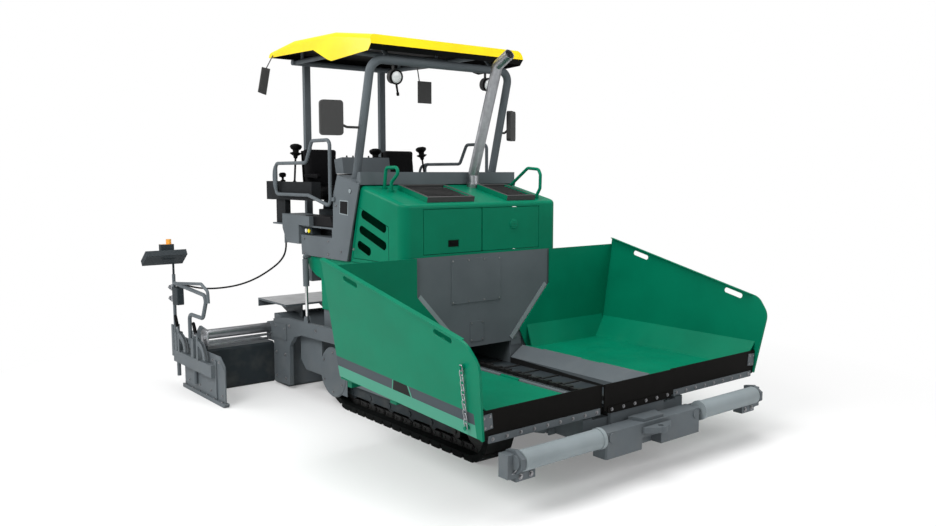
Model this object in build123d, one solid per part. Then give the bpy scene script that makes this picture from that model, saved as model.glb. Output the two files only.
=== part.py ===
from build123d import *
import math
import os

# Asphalt paver on rubber-padded tracks. Millimetres, ground at z = 0, +Z up, the hopper looks along -Y.
# +X is the machine's own left. Everything that exists twice is modelled at +X and mirrored to -X.

# Overall
FRONT_Y = -2475.0
REAR_Y = 2475.0
RUN_GAP = 0.5
SEAT_GAP = 0.3
MOVE_GAP = 6.0

# Tracks
TRACK_OUTER_X = 900.0
TRACK_WIDTH = 260.0
IDLER = (-1310.0, 235.0)
IDLER_RADIUS = 235.0
SPROCKET = (720.0, 320.0)
SPROCKET_RADIUS = 225.0
END_ROLLER_Y = 500.0
PAD_THICK = 40.0
SHOE_THICK = 12.0
RAIL_HEIGHT = 50.0
RAIL_WIDTH = 24.0
RAIL_SPREAD = 66.0
SHOE_PITCH = 140.0
SHOE_LENGTH = 120.0
PAD_CHAMFER = 11.0
ROLLER_RADIUS = 62.0
ROLLER_WIDTH = 96.0
ROLLER_COUNT = 6
FIRST_ROLLER_Y = -1060.0
TRACK_FRAME_BOTTOM = 238.0
TRACK_FRAME_TOP = 370.0
COVER_RADIUS = 240.0
COVER_THICK = 12.0

# Main frame
FRAME_INNER_X = 470.0
FRAME_OUTER_X = 620.0
FRAME_BOTTOM_Z = 240.0
FRAME_TOP_Z = 560.0
NOSE_OUTER_X = 560.0
NOSE_TOP_Z = 460.0
FRAME_FRONT_Y = -2185.0
FRAME_REAR_Y = 1180.0
NOSE_REAR_Y = -1580.0
BODY_OUTER_X = 889.0
BODY_REAR_Y = 940.0
BODY_LOW_Z = 640.0
PANEL_LOW_Z = 900.0
BODY_TOP_Z = 1400.0

# Conveyor
TROUGH_X = 290.0
TROUGH_FLOOR_Z = 450.0
TROUGH_WALL_Z = 505.0
TROUGH_TOP_X = 436.0
TROUGH_TOP_Z = 600.0
SHEET = 8.0
TUNNEL_TOP_Z = 700.0
CONVEYOR_REAR_Y = 1184.0
FLIGHT_PITCH = 250.0
CHAIN_WIDTH = 60.0
CHAIN_CORE = 30.0
LINK_PITCH = 125.0
BAR_HEIGHT = 8.0

# Hopper
WALL_Y = -440.0
WALL_THICK = 10.0
WING_REAR_Y = -452.0
HINGE_X = 462.0
HINGE_Z = 580.0
HINGE_RADIUS = 18.0
HINGE_PIN_RADIUS = 9.0
FLOOR_Z = 585.0
PLATE = 10.0
SIDE_FOOT_X = 1500.0
SIDE_FOOT_Z = 504.0
SIDE_TOP_X = 1668.0
SIDE_TOP_Z = 1545.0
SIDE_REAR_FOOT_Z = 597.0
SIDE_NOSE_Y = -2278.0
SIDE_NOSE_Z = 1010.0
SIDE_SHOULDER_Y = -2173.0
SIDE_SHOULDER_Z = 1143.0
SIDE_TIP_Y = -2215.0
WING_FRONT_Y = -2195.0
WING_WALL_TOP_Z = 1485.0
WALL_TOP_X = 768.0
WALL_KINK_Z = 1158.0
WALL_LOW_X = 308.0
WALL_LOW_Z = 655.0
CHAMFER_FOOT_X = 1340.0
CHAMFER_TOP_Z = 770.0
REAR_CHAMFER_TOP_Z = 790.0
REAR_CHAMFER_DEPTH = 75.0
NOSE_RADIUS = 140.0
RIM_WIDTH = 20.0
RIM_STEP = 8.0
HAND_SLOT_HALF = 75.0
HAND_SLOT_RADIUS = 22.0
RIB_LOW_Z = 515.0

# Hopper cylinders
CYLINDER_Y = -1850.0
BARREL_X = 600.0
BARREL_Z = 330.0
ROD_EYE_X = 1130.0
ROD_EYE_Z = 480.0
BARREL_RADIUS = 38.0
ROD_RADIUS = 20.0
BARREL_LENGTH = 440.0
ROD_INSET = 130.0
EYE_RADIUS = 30.0
PIN_RADIUS = 15.0

# Aprons at the front of the hopper
APRON_TOP_Z = 695.0
APRON_LOW_Z = 500.0
APRON_THICK = 10.0
APRON_INNER_X = 390.0
STRIP_LOW_Z = 480.0
STRIP_TOP_Z = 528.0
STRIP_THICK = 8.0

# Push bar
PUSH_FRONT_Y = -2380.0
PUSH_REAR_Y = -2245.0
PUSH_HALF = 530.0
PUSH_LOW_Z = 216.0
PUSH_TOP_Z = 407.0
PIVOT_Y = -2300.0
PIVOT_RADIUS = 25.0
PUSH_ROLLER_Y = -2343.0
PUSH_ROLLER_Z = 370.0
PUSH_ROLLER_RADIUS = 70.0
PUSH_ROLLER_INNER_X = PUSH_HALF + 26
PUSH_ROLLER_OUTER_X = 1300.0
PUSH_END_X = 1400.0
PUSH_AXLE_RADIUS = 22.0
LUG_HALF = 150.0
LUG_HOLE_RADIUS = 22.0
LUG_HOLE_Y = -2425.0

# Hood
HOOD_TOP_FRONT_Z = 1935.0
HOOD_REAR_TOP = (228.0, 2090.0)
HOOD_REAR_FOOT = (403.0, BODY_TOP_Z + SEAT_GAP)
HOOD_SKIN = 10.0
HOOD_CORNER = 90.0
HOOD_EDGE = 36.0
EXHAUST_FOOT = (320.0, 130.0)
EXHAUST_RADIUS = 50.0
HANDLE_RADIUS = 15.0
GRILLE_HEIGHT = 46.0
GRILLE_PITCH = 42.0
DOOR_GAP = 5.0
DOOR_PIN_RADIUS = 3.5
FRONT_DOOR_Z = (1505.0, 1895.0)
FRONT_SEAMS = (-686.0, -44.0, 649.0)
SIDE_DOOR_FRONT_Y = -222.0
SLOT_LENGTH = 437.0
SLOT_WIDTH = 76.0
SLOT_SLOPE = 18.3

# Operator's stand
STAND_OUTER_X = 920.0
STAND_SHEET = 15.0
STAND_INNER_X = STAND_OUTER_X - STAND_SHEET - SEAT_GAP
DECK_Z = 1690.0
DECK_REAR_Y = 1940.0
DASH_TOP_Z = 2207.0
SEAT_X = 490.0
SEAT_Y = 1480.0
CUSHION_Z = 1960.0
RAIL_RADIUS = 17.0
CABINET_INNER_X = 700.0
CABINET_FRONT_Y = 1304.0
CABINET_REAR_Y = 1652.0
CABINET_TOP_FRONT_Y = 1085.0
RECESS_LOW_Z = 1596.0
RECESS_FRONT_Y = 685.0

# Roof
ROOF_HALF = 876.0
ROOF_FRONT_Y = 43.0
ROOF_REAR_Y = 2000.0
ROOF_SKIN = 14.0
ROOF_CEILING = [(1976.0, 3418.0), (1500.0, 3465.0), (700.0, 3447.0), (103.0, 3366.0)]
POST_X = 800.0
POST_RADIUS = 39.0
HOOP_TOP = (165.0, 3190.0)
REAR_POST_X = 470.0
REAR_POST_Y = 1950.0

# Screed
TOW_Y = -150.0
TOW_Z = 680.0
TOW_PIN_RADIUS = 26.0
SCREED_FRONT_Y = 1600.0
SCREED_REAR_Y = 1925.0
SCREED_HALF = 922.0
ARM_INNER_X = SCREED_HALF + 3
ARM_OUTER_X = ARM_INNER_X + 40
SCREED_TOP_Z = 734.0
WALK_Z = 850.0
WALK_HALF = 915.0
WALK_FRONT_Y = 1665.0
WALK_REAR_Y = 2325.0
EXT_FRONT_Y = 1940.0
EXT_REAR_Y = 2300.0
EXT_INNER_X = 926.0
EXT_OUTER_X = 1650.0
EXT_TOP_Z = 430.0
TUBE_Y = 2012.0
TUBE_Z = 575.0
TUBE_RADIUS = 50.0
ROD_Y = 1972.0
ROD_LEVELS = (468.0, 508.0)
SLIDE_ROD_RADIUS = 13.0
TUBE_INNER_X = 860.0
GATE_X = 1740.0
GATE_THICK = 12.0
GATE_FRONT_Y = 1271.0
GATE_REAR_Y = 2300.0
GATE_TOP_Z = 468.0
GATE_POST_TOP = 1160.0

# Augers
AUGER_Y = 1340.0
AUGER_Z = 350.0
AUGER_RADIUS = 150.0
AUGER_PITCH = 270.0
AUGER_INNER_X = 75.0
AUGER_OUTER_X = 865.0
AUGER_SHAFT_RADIUS = 34.0
AUGER_STUB_RADIUS = 16.0

# Screed lift cylinders
LIFT_TOP = (945.0, 1165.0, 1385.0)
LIFT_FOOT = (945.0, 1150.0, 775.0)
LIFT_BARREL = 285.0
LIFT_RADIUS = 30.0
LIFT_ROD_RADIUS = 16.0
LIFT_PIN_RADIUS = 12.0

# Cable from the control cabinet to the right end gate, as a chosen route
CABLE_RADIUS = 9.0
CABLE_START = (-915.0, 1630.0, 1495.0)
CABLE_END = (-1742.0, 2402.0, 1060.0)
CABLE_ROUTE = [
    CABLE_START, (-915.0, 1630.0, 1410.0), (-958.0, 1668.0, 1306.0), (-1045.0, 1744.0, 1213.0),
    (-1163.0, 1848.0, 1118.0), (-1290.0, 1958.0, 1056.0), (-1422.0, 2075.0, 1025.0), (-1550.0, 2194.0, 1015.0),
    (-1660.0, 2315.0, 1034.0), CABLE_END,
]

NODES = {}


def add(name, *pieces):
    """Keep the solids of one sub-part under its name."""
    solids = []
    for piece in pieces:
        solids.extend(piece.solids())
    NODES[name] = solids


def add_pair(name, *pieces):
    """Keep a sub-part of the left side and its mirror image on the right side."""
    add(name + "_l", *pieces)
    add(name + "_r", *both_sides(*pieces)[len(pieces):])


def both_sides(*pieces):
    """The pieces themselves, then their mirror images at -X."""
    return list(pieces) + [mirror(piece, about=Plane.YZ) for piece in pieces]


def join(*pieces):
    """One solid from pieces that meet."""
    whole = pieces[0]
    for piece in pieces[1:]:
        whole = whole + piece
    return whole


def box(x, y, z):
    """A block between two limits along each axis."""
    return Pos(x[0], y[0], z[0]) * Solid.make_box(x[1] - x[0], y[1] - y[0], z[1] - z[0])


def slab_x(outline, x):
    """An outline of (y, z) points, thick along X."""
    face = Face(Wire.make_polygon([Vector(x[0], y, z) for y, z in outline]))
    return Solid.extrude(face, Vector(x[1] - x[0], 0, 0))


def slab_y(outline, y):
    """An outline of (x, z) points, thick along Y."""
    face = Face(Wire.make_polygon([Vector(x, y[0], z) for x, z in outline]))
    return Solid.extrude(face, Vector(0, y[1] - y[0], 0))


def slab_z(outline, z):
    """An outline of (x, y) points, thick along Z."""
    face = Face(Wire.make_polygon([Vector(x, y, z[0]) for x, y in outline]))
    return Solid.extrude(face, Vector(0, 0, z[1] - z[0]))


def rod(start, end, radius):
    """A round bar between two points."""
    start = Vector(*start)
    end = Vector(*end)
    return Solid.make_cylinder(radius, (end - start).length, Plane(origin=start, z_dir=end - start))


def rod_x(x, y, z, radius):
    return rod((x[0], y, z), (x[1], y, z), radius)


def rod_y(x, y, z, radius):
    return rod((x, y[0], z), (x, y[1], z), radius)


def rod_z(x, y, z, radius):
    return rod((x, y, z[0]), (x, y, z[1]), radius)


def bent_tube(points, radius, bend):
    """A round tube along straight runs joined by bends."""
    path = FilletPolyline(*points, radius=bend)
    section = Plane(origin=path @ 0, z_dir=path % 0) * Circle(radius)
    return sweep(section, path=path)


def closed_tube(points, radius, bend):
    """A round tube that closes on itself."""
    path = FilletPolyline(*points, radius=bend, close=True)
    section = Plane(origin=path @ 0, z_dir=path % 0) * Circle(radius)
    return sweep(section, path=path)


def belt(wheels, inset):
    """Straight runs and arcs of a belt round wheels (y, z, radius), drawn in by an inset."""
    count = len(wheels)
    headings = []
    for i in range(count):
        y0, z0, r0 = wheels[i]
        y1, z1, r1 = wheels[(i + 1) % count]
        reach = math.hypot(y1 - y0, z1 - z0)
        headings.append(math.atan2(z1 - z0, y1 - y0) + math.asin((r0 - r1) / reach))
    runs = []
    for i in range(count):
        y0, z0, r0 = wheels[i]
        y1, z1, r1 = wheels[(i + 1) % count]
        heading = headings[i]
        normal = (math.sin(heading), -math.cos(heading))
        start = (y0 + (r0 - inset) * normal[0], z0 + (r0 - inset) * normal[1])
        end = (y1 + (r1 - inset) * normal[0], z1 + (r1 - inset) * normal[1])
        turn = (headings[(i + 1) % count] - heading) % (2 * math.pi)
        runs.append({"start": start, "end": end, "heading": heading,
                     "centre": (y1, z1), "radius": r1 - inset, "turn": turn})
    return runs


def belt_face(runs):
    """The area inside a belt, in the plane x = 0."""
    edges = []
    count = len(runs)
    for i in range(count):
        run = runs[i]
        following = runs[(i + 1) % count]
        middle = run["heading"] - math.pi / 2 + run["turn"] / 2
        crown = (run["centre"][0] + run["radius"] * math.cos(middle),
                 run["centre"][1] + run["radius"] * math.sin(middle))
        edges.append(Edge.make_line(Vector(0, *run["start"]), Vector(0, *run["end"])))
        edges.append(Edge.make_three_point_arc(Vector(0, *run["end"]), Vector(0, *crown),
                                               Vector(0, *following["start"])))
    return Face(Wire(edges))


def belt_length(runs):
    total = 0.0
    for run in runs:
        total += math.dist(run["start"], run["end"]) + run["radius"] * run["turn"]
    return total


def belt_place(runs, travel):
    """The point and heading at a distance along a belt."""
    for run in runs:
        straight = math.dist(run["start"], run["end"])
        if travel <= straight:
            point = (run["start"][0] + travel * math.cos(run["heading"]),
                     run["start"][1] + travel * math.sin(run["heading"]))
            return point, run["heading"]
        travel -= straight
        curved = run["radius"] * run["turn"]
        if travel <= curved:
            heading = run["heading"] + travel / run["radius"]
            point = (run["centre"][0] + run["radius"] * math.sin(heading),
                     run["centre"][1] - run["radius"] * math.cos(heading))
            return point, heading
        travel -= curved
    return runs[0]["start"], runs[0]["heading"]


# Tracks

TRACK_INNER_X = TRACK_OUTER_X - TRACK_WIDTH
TRACK_MIDDLE_X = TRACK_OUTER_X - TRACK_WIDTH / 2
RAIL_INSET = PAD_THICK + SHOE_THICK
WHEEL_INSET = RAIL_INSET + RAIL_HEIGHT
END_ROLLER_RADIUS = ROLLER_RADIUS + WHEEL_INSET + RUN_GAP
TRACK_WHEELS = [
    (IDLER[0], IDLER[1], IDLER_RADIUS),
    (END_ROLLER_Y, END_ROLLER_RADIUS, END_ROLLER_RADIUS),
    (SPROCKET[0], SPROCKET[1], SPROCKET_RADIUS),
]


def along_x(face, x):
    """A face in the plane x = 0, thick between two limits along X."""
    return Pos(x[0], 0, 0) * Solid.extrude(face, Vector(x[1] - x[0], 0, 0))


def track_shoe(place, heading):
    """One shoe plate with its rubber pad, seen from the side."""
    half = SHOE_LENGTH / 2
    outline = [(-half, -RAIL_INSET), (half, -RAIL_INSET), (half, -PAD_CHAMFER), (half - PAD_CHAMFER, 0),
               (PAD_CHAMFER - half, 0), (-half, -PAD_CHAMFER)]
    points = []
    for ahead, out in outline:
        y = place[0] + ahead * math.cos(heading) + out * math.sin(heading)
        z = place[1] + ahead * math.sin(heading) - out * math.cos(heading)
        points.append((y, z))
    return slab_x(points, (TRACK_INNER_X, TRACK_OUTER_X))


def track():
    """The closed loop: two link rails, a band of shoe plates and the pads."""
    outer = belt(TRACK_WHEELS, 0.0)
    band = along_x(belt_face(belt(TRACK_WHEELS, PAD_THICK)), (TRACK_INNER_X, TRACK_OUTER_X))
    band = band - along_x(belt_face(belt(TRACK_WHEELS, RAIL_INSET)), (TRACK_INNER_X - 1, TRACK_OUTER_X + 1))
    count = round(belt_length(outer) / SHOE_PITCH)
    step = belt_length(outer) / count
    shoes = [track_shoe(*belt_place(outer, i * step)) for i in range(count)]
    hollow = along_x(belt_face(belt(TRACK_WHEELS, WHEEL_INSET)), (TRACK_INNER_X, TRACK_OUTER_X))
    rails = []
    for side in (-1, 1):
        middle = TRACK_MIDDLE_X + side * RAIL_SPREAD / 2
        rail = along_x(belt_face(belt(TRACK_WHEELS, RAIL_INSET)), (middle - RAIL_WIDTH / 2, middle + RAIL_WIDTH / 2))
        rails.append(rail - hollow)
    return band.fuse(*shoes, *rails)


def toothed_wheel(y, z, tip, root, teeth, x):
    """A wheel with plain tapered teeth, its axis along X."""
    points = []
    for i in range(teeth):
        for share, radius in ((0.0, root), (0.25, root), (0.4, tip), (0.6, tip), (0.75, root)):
            angle = 2 * math.pi * (i + share) / teeth
            points.append((y + radius * math.cos(angle), z + radius * math.sin(angle)))
    return slab_x(points, x)


def running_gear():
    """Track frame, idler, rollers, drive wheel and the round guard over the drive."""
    wheel_x = (TRACK_MIDDLE_X - ROLLER_WIDTH / 2, TRACK_MIDDLE_X + ROLLER_WIDTH / 2)
    roller_z = WHEEL_INSET + ROLLER_RADIUS + RUN_GAP
    frame = slab_x([(-1130, TRACK_FRAME_BOTTOM), (520, TRACK_FRAME_BOTTOM), (590, 300), (590, TRACK_FRAME_TOP),
                    (-1130, TRACK_FRAME_TOP)], (FRAME_OUTER_X, TRACK_OUTER_X - 30))
    pieces = [frame]
    skirt_x = [(wheel_x[0] - 20, wheel_x[0] - 6), (wheel_x[1] + 6, wheel_x[1] + 20)]
    for x in skirt_x:
        pieces.append(box(x, (-1130, 560), (135, TRACK_FRAME_BOTTOM + 2)))
        pieces.append(box(x, (-1380, -1120), (200, 285)))
    for i in range(ROLLER_COUNT):
        y = FIRST_ROLLER_Y + i * (END_ROLLER_Y - FIRST_ROLLER_Y) / (ROLLER_COUNT - 1)
        pieces.append(rod_x(wheel_x, y, roller_z, ROLLER_RADIUS))
        pieces.append(rod_x((skirt_x[0][0] + 2, skirt_x[1][1] + 8), y, roller_z, 26))
    pieces.append(rod_x(wheel_x, IDLER[0], IDLER[1], IDLER_RADIUS - WHEEL_INSET - RUN_GAP))
    pieces.append(rod_x((skirt_x[0][0] - 8, skirt_x[1][1] + 8), IDLER[0], IDLER[1], 32))
    tip = SPROCKET_RADIUS - WHEEL_INSET - RUN_GAP
    pieces.append(toothed_wheel(SPROCKET[0], SPROCKET[1], tip, tip - 26, 11, wheel_x))
    pieces.append(rod_x((FRAME_OUTER_X, TRACK_OUTER_X + 4), SPROCKET[0], SPROCKET[1], 92))
    pieces.append(box((FRAME_OUTER_X, skirt_x[0][1]), (560, SPROCKET[0]), (SPROCKET[1] - 60, TRACK_FRAME_TOP)))
    cover = rod_x((TRACK_OUTER_X + 3, TRACK_OUTER_X + 3 + COVER_THICK), SPROCKET[0], SPROCKET[1], COVER_RADIUS)
    cover = chamfer(cover.faces().sort_by(Axis.X)[-1].edges(), COVER_THICK * 0.7)
    guard = slab_x([(470, 130), (700, 130), (700, 400), (470, 400)], (TRACK_OUTER_X + 3, TRACK_OUTER_X + 9))
    pieces.append(cover)
    pieces.append(guard)
    return join(*pieces)


# Main frame and conveyor

BODY_FRONT_Y = WALL_Y + WALL_THICK + SEAT_GAP


def chassis():
    """Side beams, nose, cross members, tunnel, belly and the boxes that carry body and stand."""
    nose_low = 300.0
    pieces = []
    for side in (1, -1):
        beam = box((FRAME_INNER_X, FRAME_OUTER_X), (NOSE_REAR_Y, FRAME_REAR_Y), (FRAME_BOTTOM_Z, FRAME_TOP_Z))
        nose = box((FRAME_INNER_X, NOSE_OUTER_X), (FRAME_FRONT_Y, NOSE_REAR_Y + 2), (nose_low, NOSE_TOP_Z))
        body = box((FRAME_INNER_X, BODY_OUTER_X - 14), (BODY_FRONT_Y, BODY_REAR_Y), (BODY_LOW_Z, PANEL_LOW_Z + 80))
        riser = box((FRAME_INNER_X, FRAME_OUTER_X), (BODY_FRONT_Y, FRAME_REAR_Y), (FRAME_TOP_Z - 2, BODY_LOW_Z + 5))
        tunnel = box((TROUGH_X + 10, FRAME_INNER_X + 2), (BODY_FRONT_Y, FRAME_REAR_Y), (TROUGH_FLOOR_Z - 60, TUNNEL_TOP_Z))
        post = box((FRAME_INNER_X, FRAME_OUTER_X), (BODY_REAR_Y - 2, FRAME_REAR_Y), (BODY_LOW_Z, BODY_TOP_Z + 5))
        tow_plate = box((BODY_OUTER_X - 16, BODY_OUTER_X + 16), (TOW_Y - 60, TOW_Y + 60), (BODY_LOW_Z - 20, PANEL_LOW_Z - 1))
        ear = [box((NOSE_OUTER_X - 2, BARREL_X + 24), y, (BARREL_Z - 34, BARREL_Z + 30))
               for y in ((CYLINDER_Y - 58, CYLINDER_Y - 46), (CYLINDER_Y + 46, CYLINDER_Y + 58))]
        pin = rod_y(BARREL_X, (CYLINDER_Y - 58, CYLINDER_Y + 58), BARREL_Z, PIN_RADIUS)
        half = [beam, nose, body, riser, tunnel, post, tow_plate, *ear, pin]
        half.append(rod_y(HINGE_X, (-2145, -485), HINGE_Z, HINGE_PIN_RADIUS))
        for y in ((-1935, -1415), (-1190, -715)):
            half.append(rod_y(HINGE_X, y, HINGE_Z, HINGE_RADIUS))
            half.append(box((HINGE_X - 6, FRAME_INNER_X + 2), y, (NOSE_TOP_Z - 20, HINGE_Z)))
        half.append(rod_x((BODY_OUTER_X + 10, ARM_INNER_X - 6), TOW_Y, TOW_Z, 44))
        half.append(rod_x((ARM_INNER_X - 8, ARM_OUTER_X + 40), TOW_Y, TOW_Z, TOW_PIN_RADIUS))
        half.append(rod_x((FRAME_OUTER_X - 2, LIFT_TOP[0] + 24), LIFT_TOP[1], LIFT_TOP[2], LIFT_PIN_RADIUS))
        if side < 0:
            half = [mirror(piece, about=Plane.YZ) for piece in half]
        pieces.extend(half)
    for y in ((FRAME_FRONT_Y, FRAME_FRONT_Y + 110), (-1300, -1180), (-400, -280), (500, 620), (1060, FRAME_REAR_Y)):
        pieces.append(box((-FRAME_INNER_X - 2, FRAME_INNER_X + 2), y, (nose_low, TROUGH_FLOOR_Z - SHEET - SEAT_GAP)))
    apron_back = WING_FRONT_Y - APRON_THICK - MOVE_GAP + SEAT_GAP
    pieces.append(box((-300, 300), (apron_back, FRAME_FRONT_Y + 5), (nose_low, 560)))
    pieces.append(box((-FRAME_INNER_X - 2, FRAME_INNER_X + 2), (BODY_FRONT_Y, FRAME_REAR_Y), (TUNNEL_TOP_Z - 2, TUNNEL_TOP_Z + 40)))
    nose_plate = box((-120, 120), (PIVOT_Y - 50, FRAME_FRONT_Y - 20), (320, 352))
    pieces.append(nose_plate)
    pieces.append(rod_z(0, PIVOT_Y, (300, 372), PIVOT_RADIUS))
    return join(*pieces)


def conveyor():
    """Floor plates, the inclined side strips, and the chain with its cross bars lying on them."""
    front = FRAME_FRONT_Y + 6
    floor = box((-TROUGH_X - 8, TROUGH_X + 8), (front, CONVEYOR_REAR_Y), (TROUGH_FLOOR_Z - SHEET, TROUGH_FLOOR_Z))
    strips = []
    for side in (1, -1):
        points = [(TROUGH_X, TROUGH_FLOOR_Z - SHEET), (TROUGH_X + 8, TROUGH_FLOOR_Z - SHEET),
                  (TROUGH_X + 8, TROUGH_WALL_Z - 5), (TROUGH_TOP_X, TROUGH_TOP_Z - 10), (TROUGH_TOP_X, TROUGH_TOP_Z),
                  (TROUGH_X, TROUGH_WALL_Z)]
        strip = slab_y([(side * x, z) for x, z in points], (front, WALL_Y - 14))
        strips.append(strip)
    plates = join(floor, *strips)
    bars = []
    count = int((CONVEYOR_REAR_Y - front - 120) / FLIGHT_PITCH)
    chain = box((-CHAIN_CORE / 2, CHAIN_CORE / 2), (front + 40, CONVEYOR_REAR_Y - 30),
                (TROUGH_FLOOR_Z, TROUGH_FLOOR_Z + 26))
    for i in range(count + 1):
        y = front + 90 + i * FLIGHT_PITCH
        bars.append(box((-TROUGH_X + 12, TROUGH_X - 12), (y - 12, y + 12), (TROUGH_FLOOR_Z, TROUGH_FLOOR_Z + BAR_HEIGHT)))
        for link in (y - LINK_PITCH / 4, y + LINK_PITCH / 4 + LINK_PITCH / 2):
            bars.append(box((-CHAIN_WIDTH / 2, CHAIN_WIDTH / 2), (link - 22, link + 22),
                            (TROUGH_FLOOR_Z, TROUGH_FLOOR_Z + 36)))
    return plates.fuse(chain, *bars)


def hopper_wall():
    """The fixed wall between hopper and engine bay, with its two hatches and edge strips."""
    outline = [(WALL_TOP_X + 22, WING_WALL_TOP_Z), (WALL_TOP_X + 22, WALL_KINK_Z - 10), (430, 748), (430, 612),
               (WALL_LOW_X, 612), (WALL_LOW_X, WALL_LOW_Z)]
    points = outline + [(-x, z) for x, z in reversed(outline)]
    wall = slab_y(points, (WALL_Y, WALL_Y + WALL_THICK))
    hatch_front = WALL_Y - 6
    pieces = [wall, box((-391, 171), (hatch_front, WALL_Y + 1), (1057, 1450)),
              box((-180, -29), (hatch_front, WALL_Y + 1), (702, 883))]
    run = Vector(WALL_TOP_X - WALL_LOW_X, 0, WALL_KINK_Z - WALL_LOW_Z).normalized()
    for side in (1, -1):
        low = (WALL_LOW_X + 12, WALL_LOW_Z + 12)
        high = (WALL_TOP_X - 14, WALL_KINK_Z - 16)
        strip = [(low[0], low[1]), (high[0], high[1]),
                 (high[0] - 46 * run.Z, high[1] + 46 * run.X), (low[0] - 46 * run.Z, low[1] + 46 * run.X)]
        pieces.append(slab_y([(side * x, z) for x, z in strip], (hatch_front, WALL_Y + 1)))
    return join(*pieces)


# Hopper wings

LEAN = math.degrees(math.atan2(SIDE_TOP_X - SIDE_FOOT_X, SIDE_TOP_Z - SIDE_FOOT_Z))


def side_x(z):
    """How far out the leaning side's outer face is at a height."""
    return SIDE_FOOT_X + (z - SIDE_FOOT_Z) * math.tan(math.radians(LEAN))


def drawn_in(points, amount):
    """The corners of an open outline, moved to its right by an amount."""
    runs = []
    for (a0, b0), (a1, b1) in zip(points, points[1:]):
        length = math.hypot(a1 - a0, b1 - b0)
        shift = (amount * (a1 - a0) / length, amount * (b1 - b0) / length)
        runs.append(((a0 - shift[1], b0 + shift[0]), (a1 - shift[1], b1 + shift[0])))
    corners = [runs[0][0]]
    for (p, q), (r, s) in zip(runs, runs[1:]):
        along = (q[0] - p[0], q[1] - p[1])
        across = (s[0] - r[0], s[1] - r[1])
        share = ((r[0] - p[0]) * across[1] - (r[1] - p[1]) * across[0]) / (along[0] * across[1] - along[1] * across[0])
        corners.append((p[0] + share * along[0], p[1] + share * along[1]))
    return corners + [runs[-1][1]]


def nose_rounded(outline, x, radius):
    """A side outline made solid, its shoulder and nose rounded."""
    plate = slab_x(outline, x)
    edges = plate.edges().filter_by(Axis.X)
    nose = []
    for y, z in (outline[2], outline[3]):
        nose.extend(edge for edge in edges if math.hypot(edge.center().Y - y, edge.center().Z - z) < 1)
    return fillet(nose, radius)


def wing_side():
    """The leaning side plate with its rounded nose, raised rim, top lip and two hand slots."""
    rise = 1 / math.cos(math.radians(LEAN))

    def up(z):
        return (z - SIDE_FOOT_Z) * rise

    outline = [(WING_REAR_Y, up(SIDE_REAR_FOOT_Z)), (WING_REAR_Y, up(SIDE_TOP_Z)),
               (SIDE_SHOULDER_Y, up(SIDE_SHOULDER_Z)), (SIDE_NOSE_Y, up(SIDE_NOSE_Z)), (SIDE_TIP_Y, 0)]
    plate = nose_rounded(outline, (-PLATE, 0), NOSE_RADIUS)
    inner = drawn_in(outline[1:], RIM_WIDTH)
    inner = [(WING_REAR_Y + 1, -1), (WING_REAR_Y + 1, inner[0][1])] + inner[1:-1] + [(inner[-1][0], -1)]
    rim = nose_rounded(outline, (-1, RIM_STEP), NOSE_RADIUS)
    rim = rim - nose_rounded(inner, (-2, RIM_STEP + 1), NOSE_RADIUS - RIM_WIDTH)
    slope = math.atan2(up(SIDE_TOP_Z) - up(SIDE_SHOULDER_Z), WING_REAR_Y - SIDE_SHOULDER_Y)
    lip_length = math.hypot(up(SIDE_TOP_Z) - up(SIDE_SHOULDER_Z), WING_REAR_Y - SIDE_SHOULDER_Y) - 60
    lip = box((-30, 6), (-lip_length, 0), (-8, 0))
    lip = Pos(0, WING_REAR_Y, up(SIDE_TOP_Z)) * Rot(math.degrees(slope), 0, 0) * lip
    slots = []
    for y, z in ((-845, 1398), (-1923, 1150)):
        walls = (-PLATE - 1, 1)
        slot = box(walls, (-HAND_SLOT_HALF, HAND_SLOT_HALF), (-HAND_SLOT_RADIUS, HAND_SLOT_RADIUS))
        slot = slot + rod_x(walls, -HAND_SLOT_HALF, 0, HAND_SLOT_RADIUS) + rod_x(walls, HAND_SLOT_HALF, 0, HAND_SLOT_RADIUS)
        slots.append(Pos(0, y, up(z)) * Rot(math.degrees(slope), 0, 0) * slot)
    plate = join(plate, rim, lip)
    for slot in slots:
        plate = plate - slot
    return Pos(SIDE_FOOT_X, 0, SIDE_FOOT_Z) * Rot(0, LEAN, 0) * plate


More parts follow.
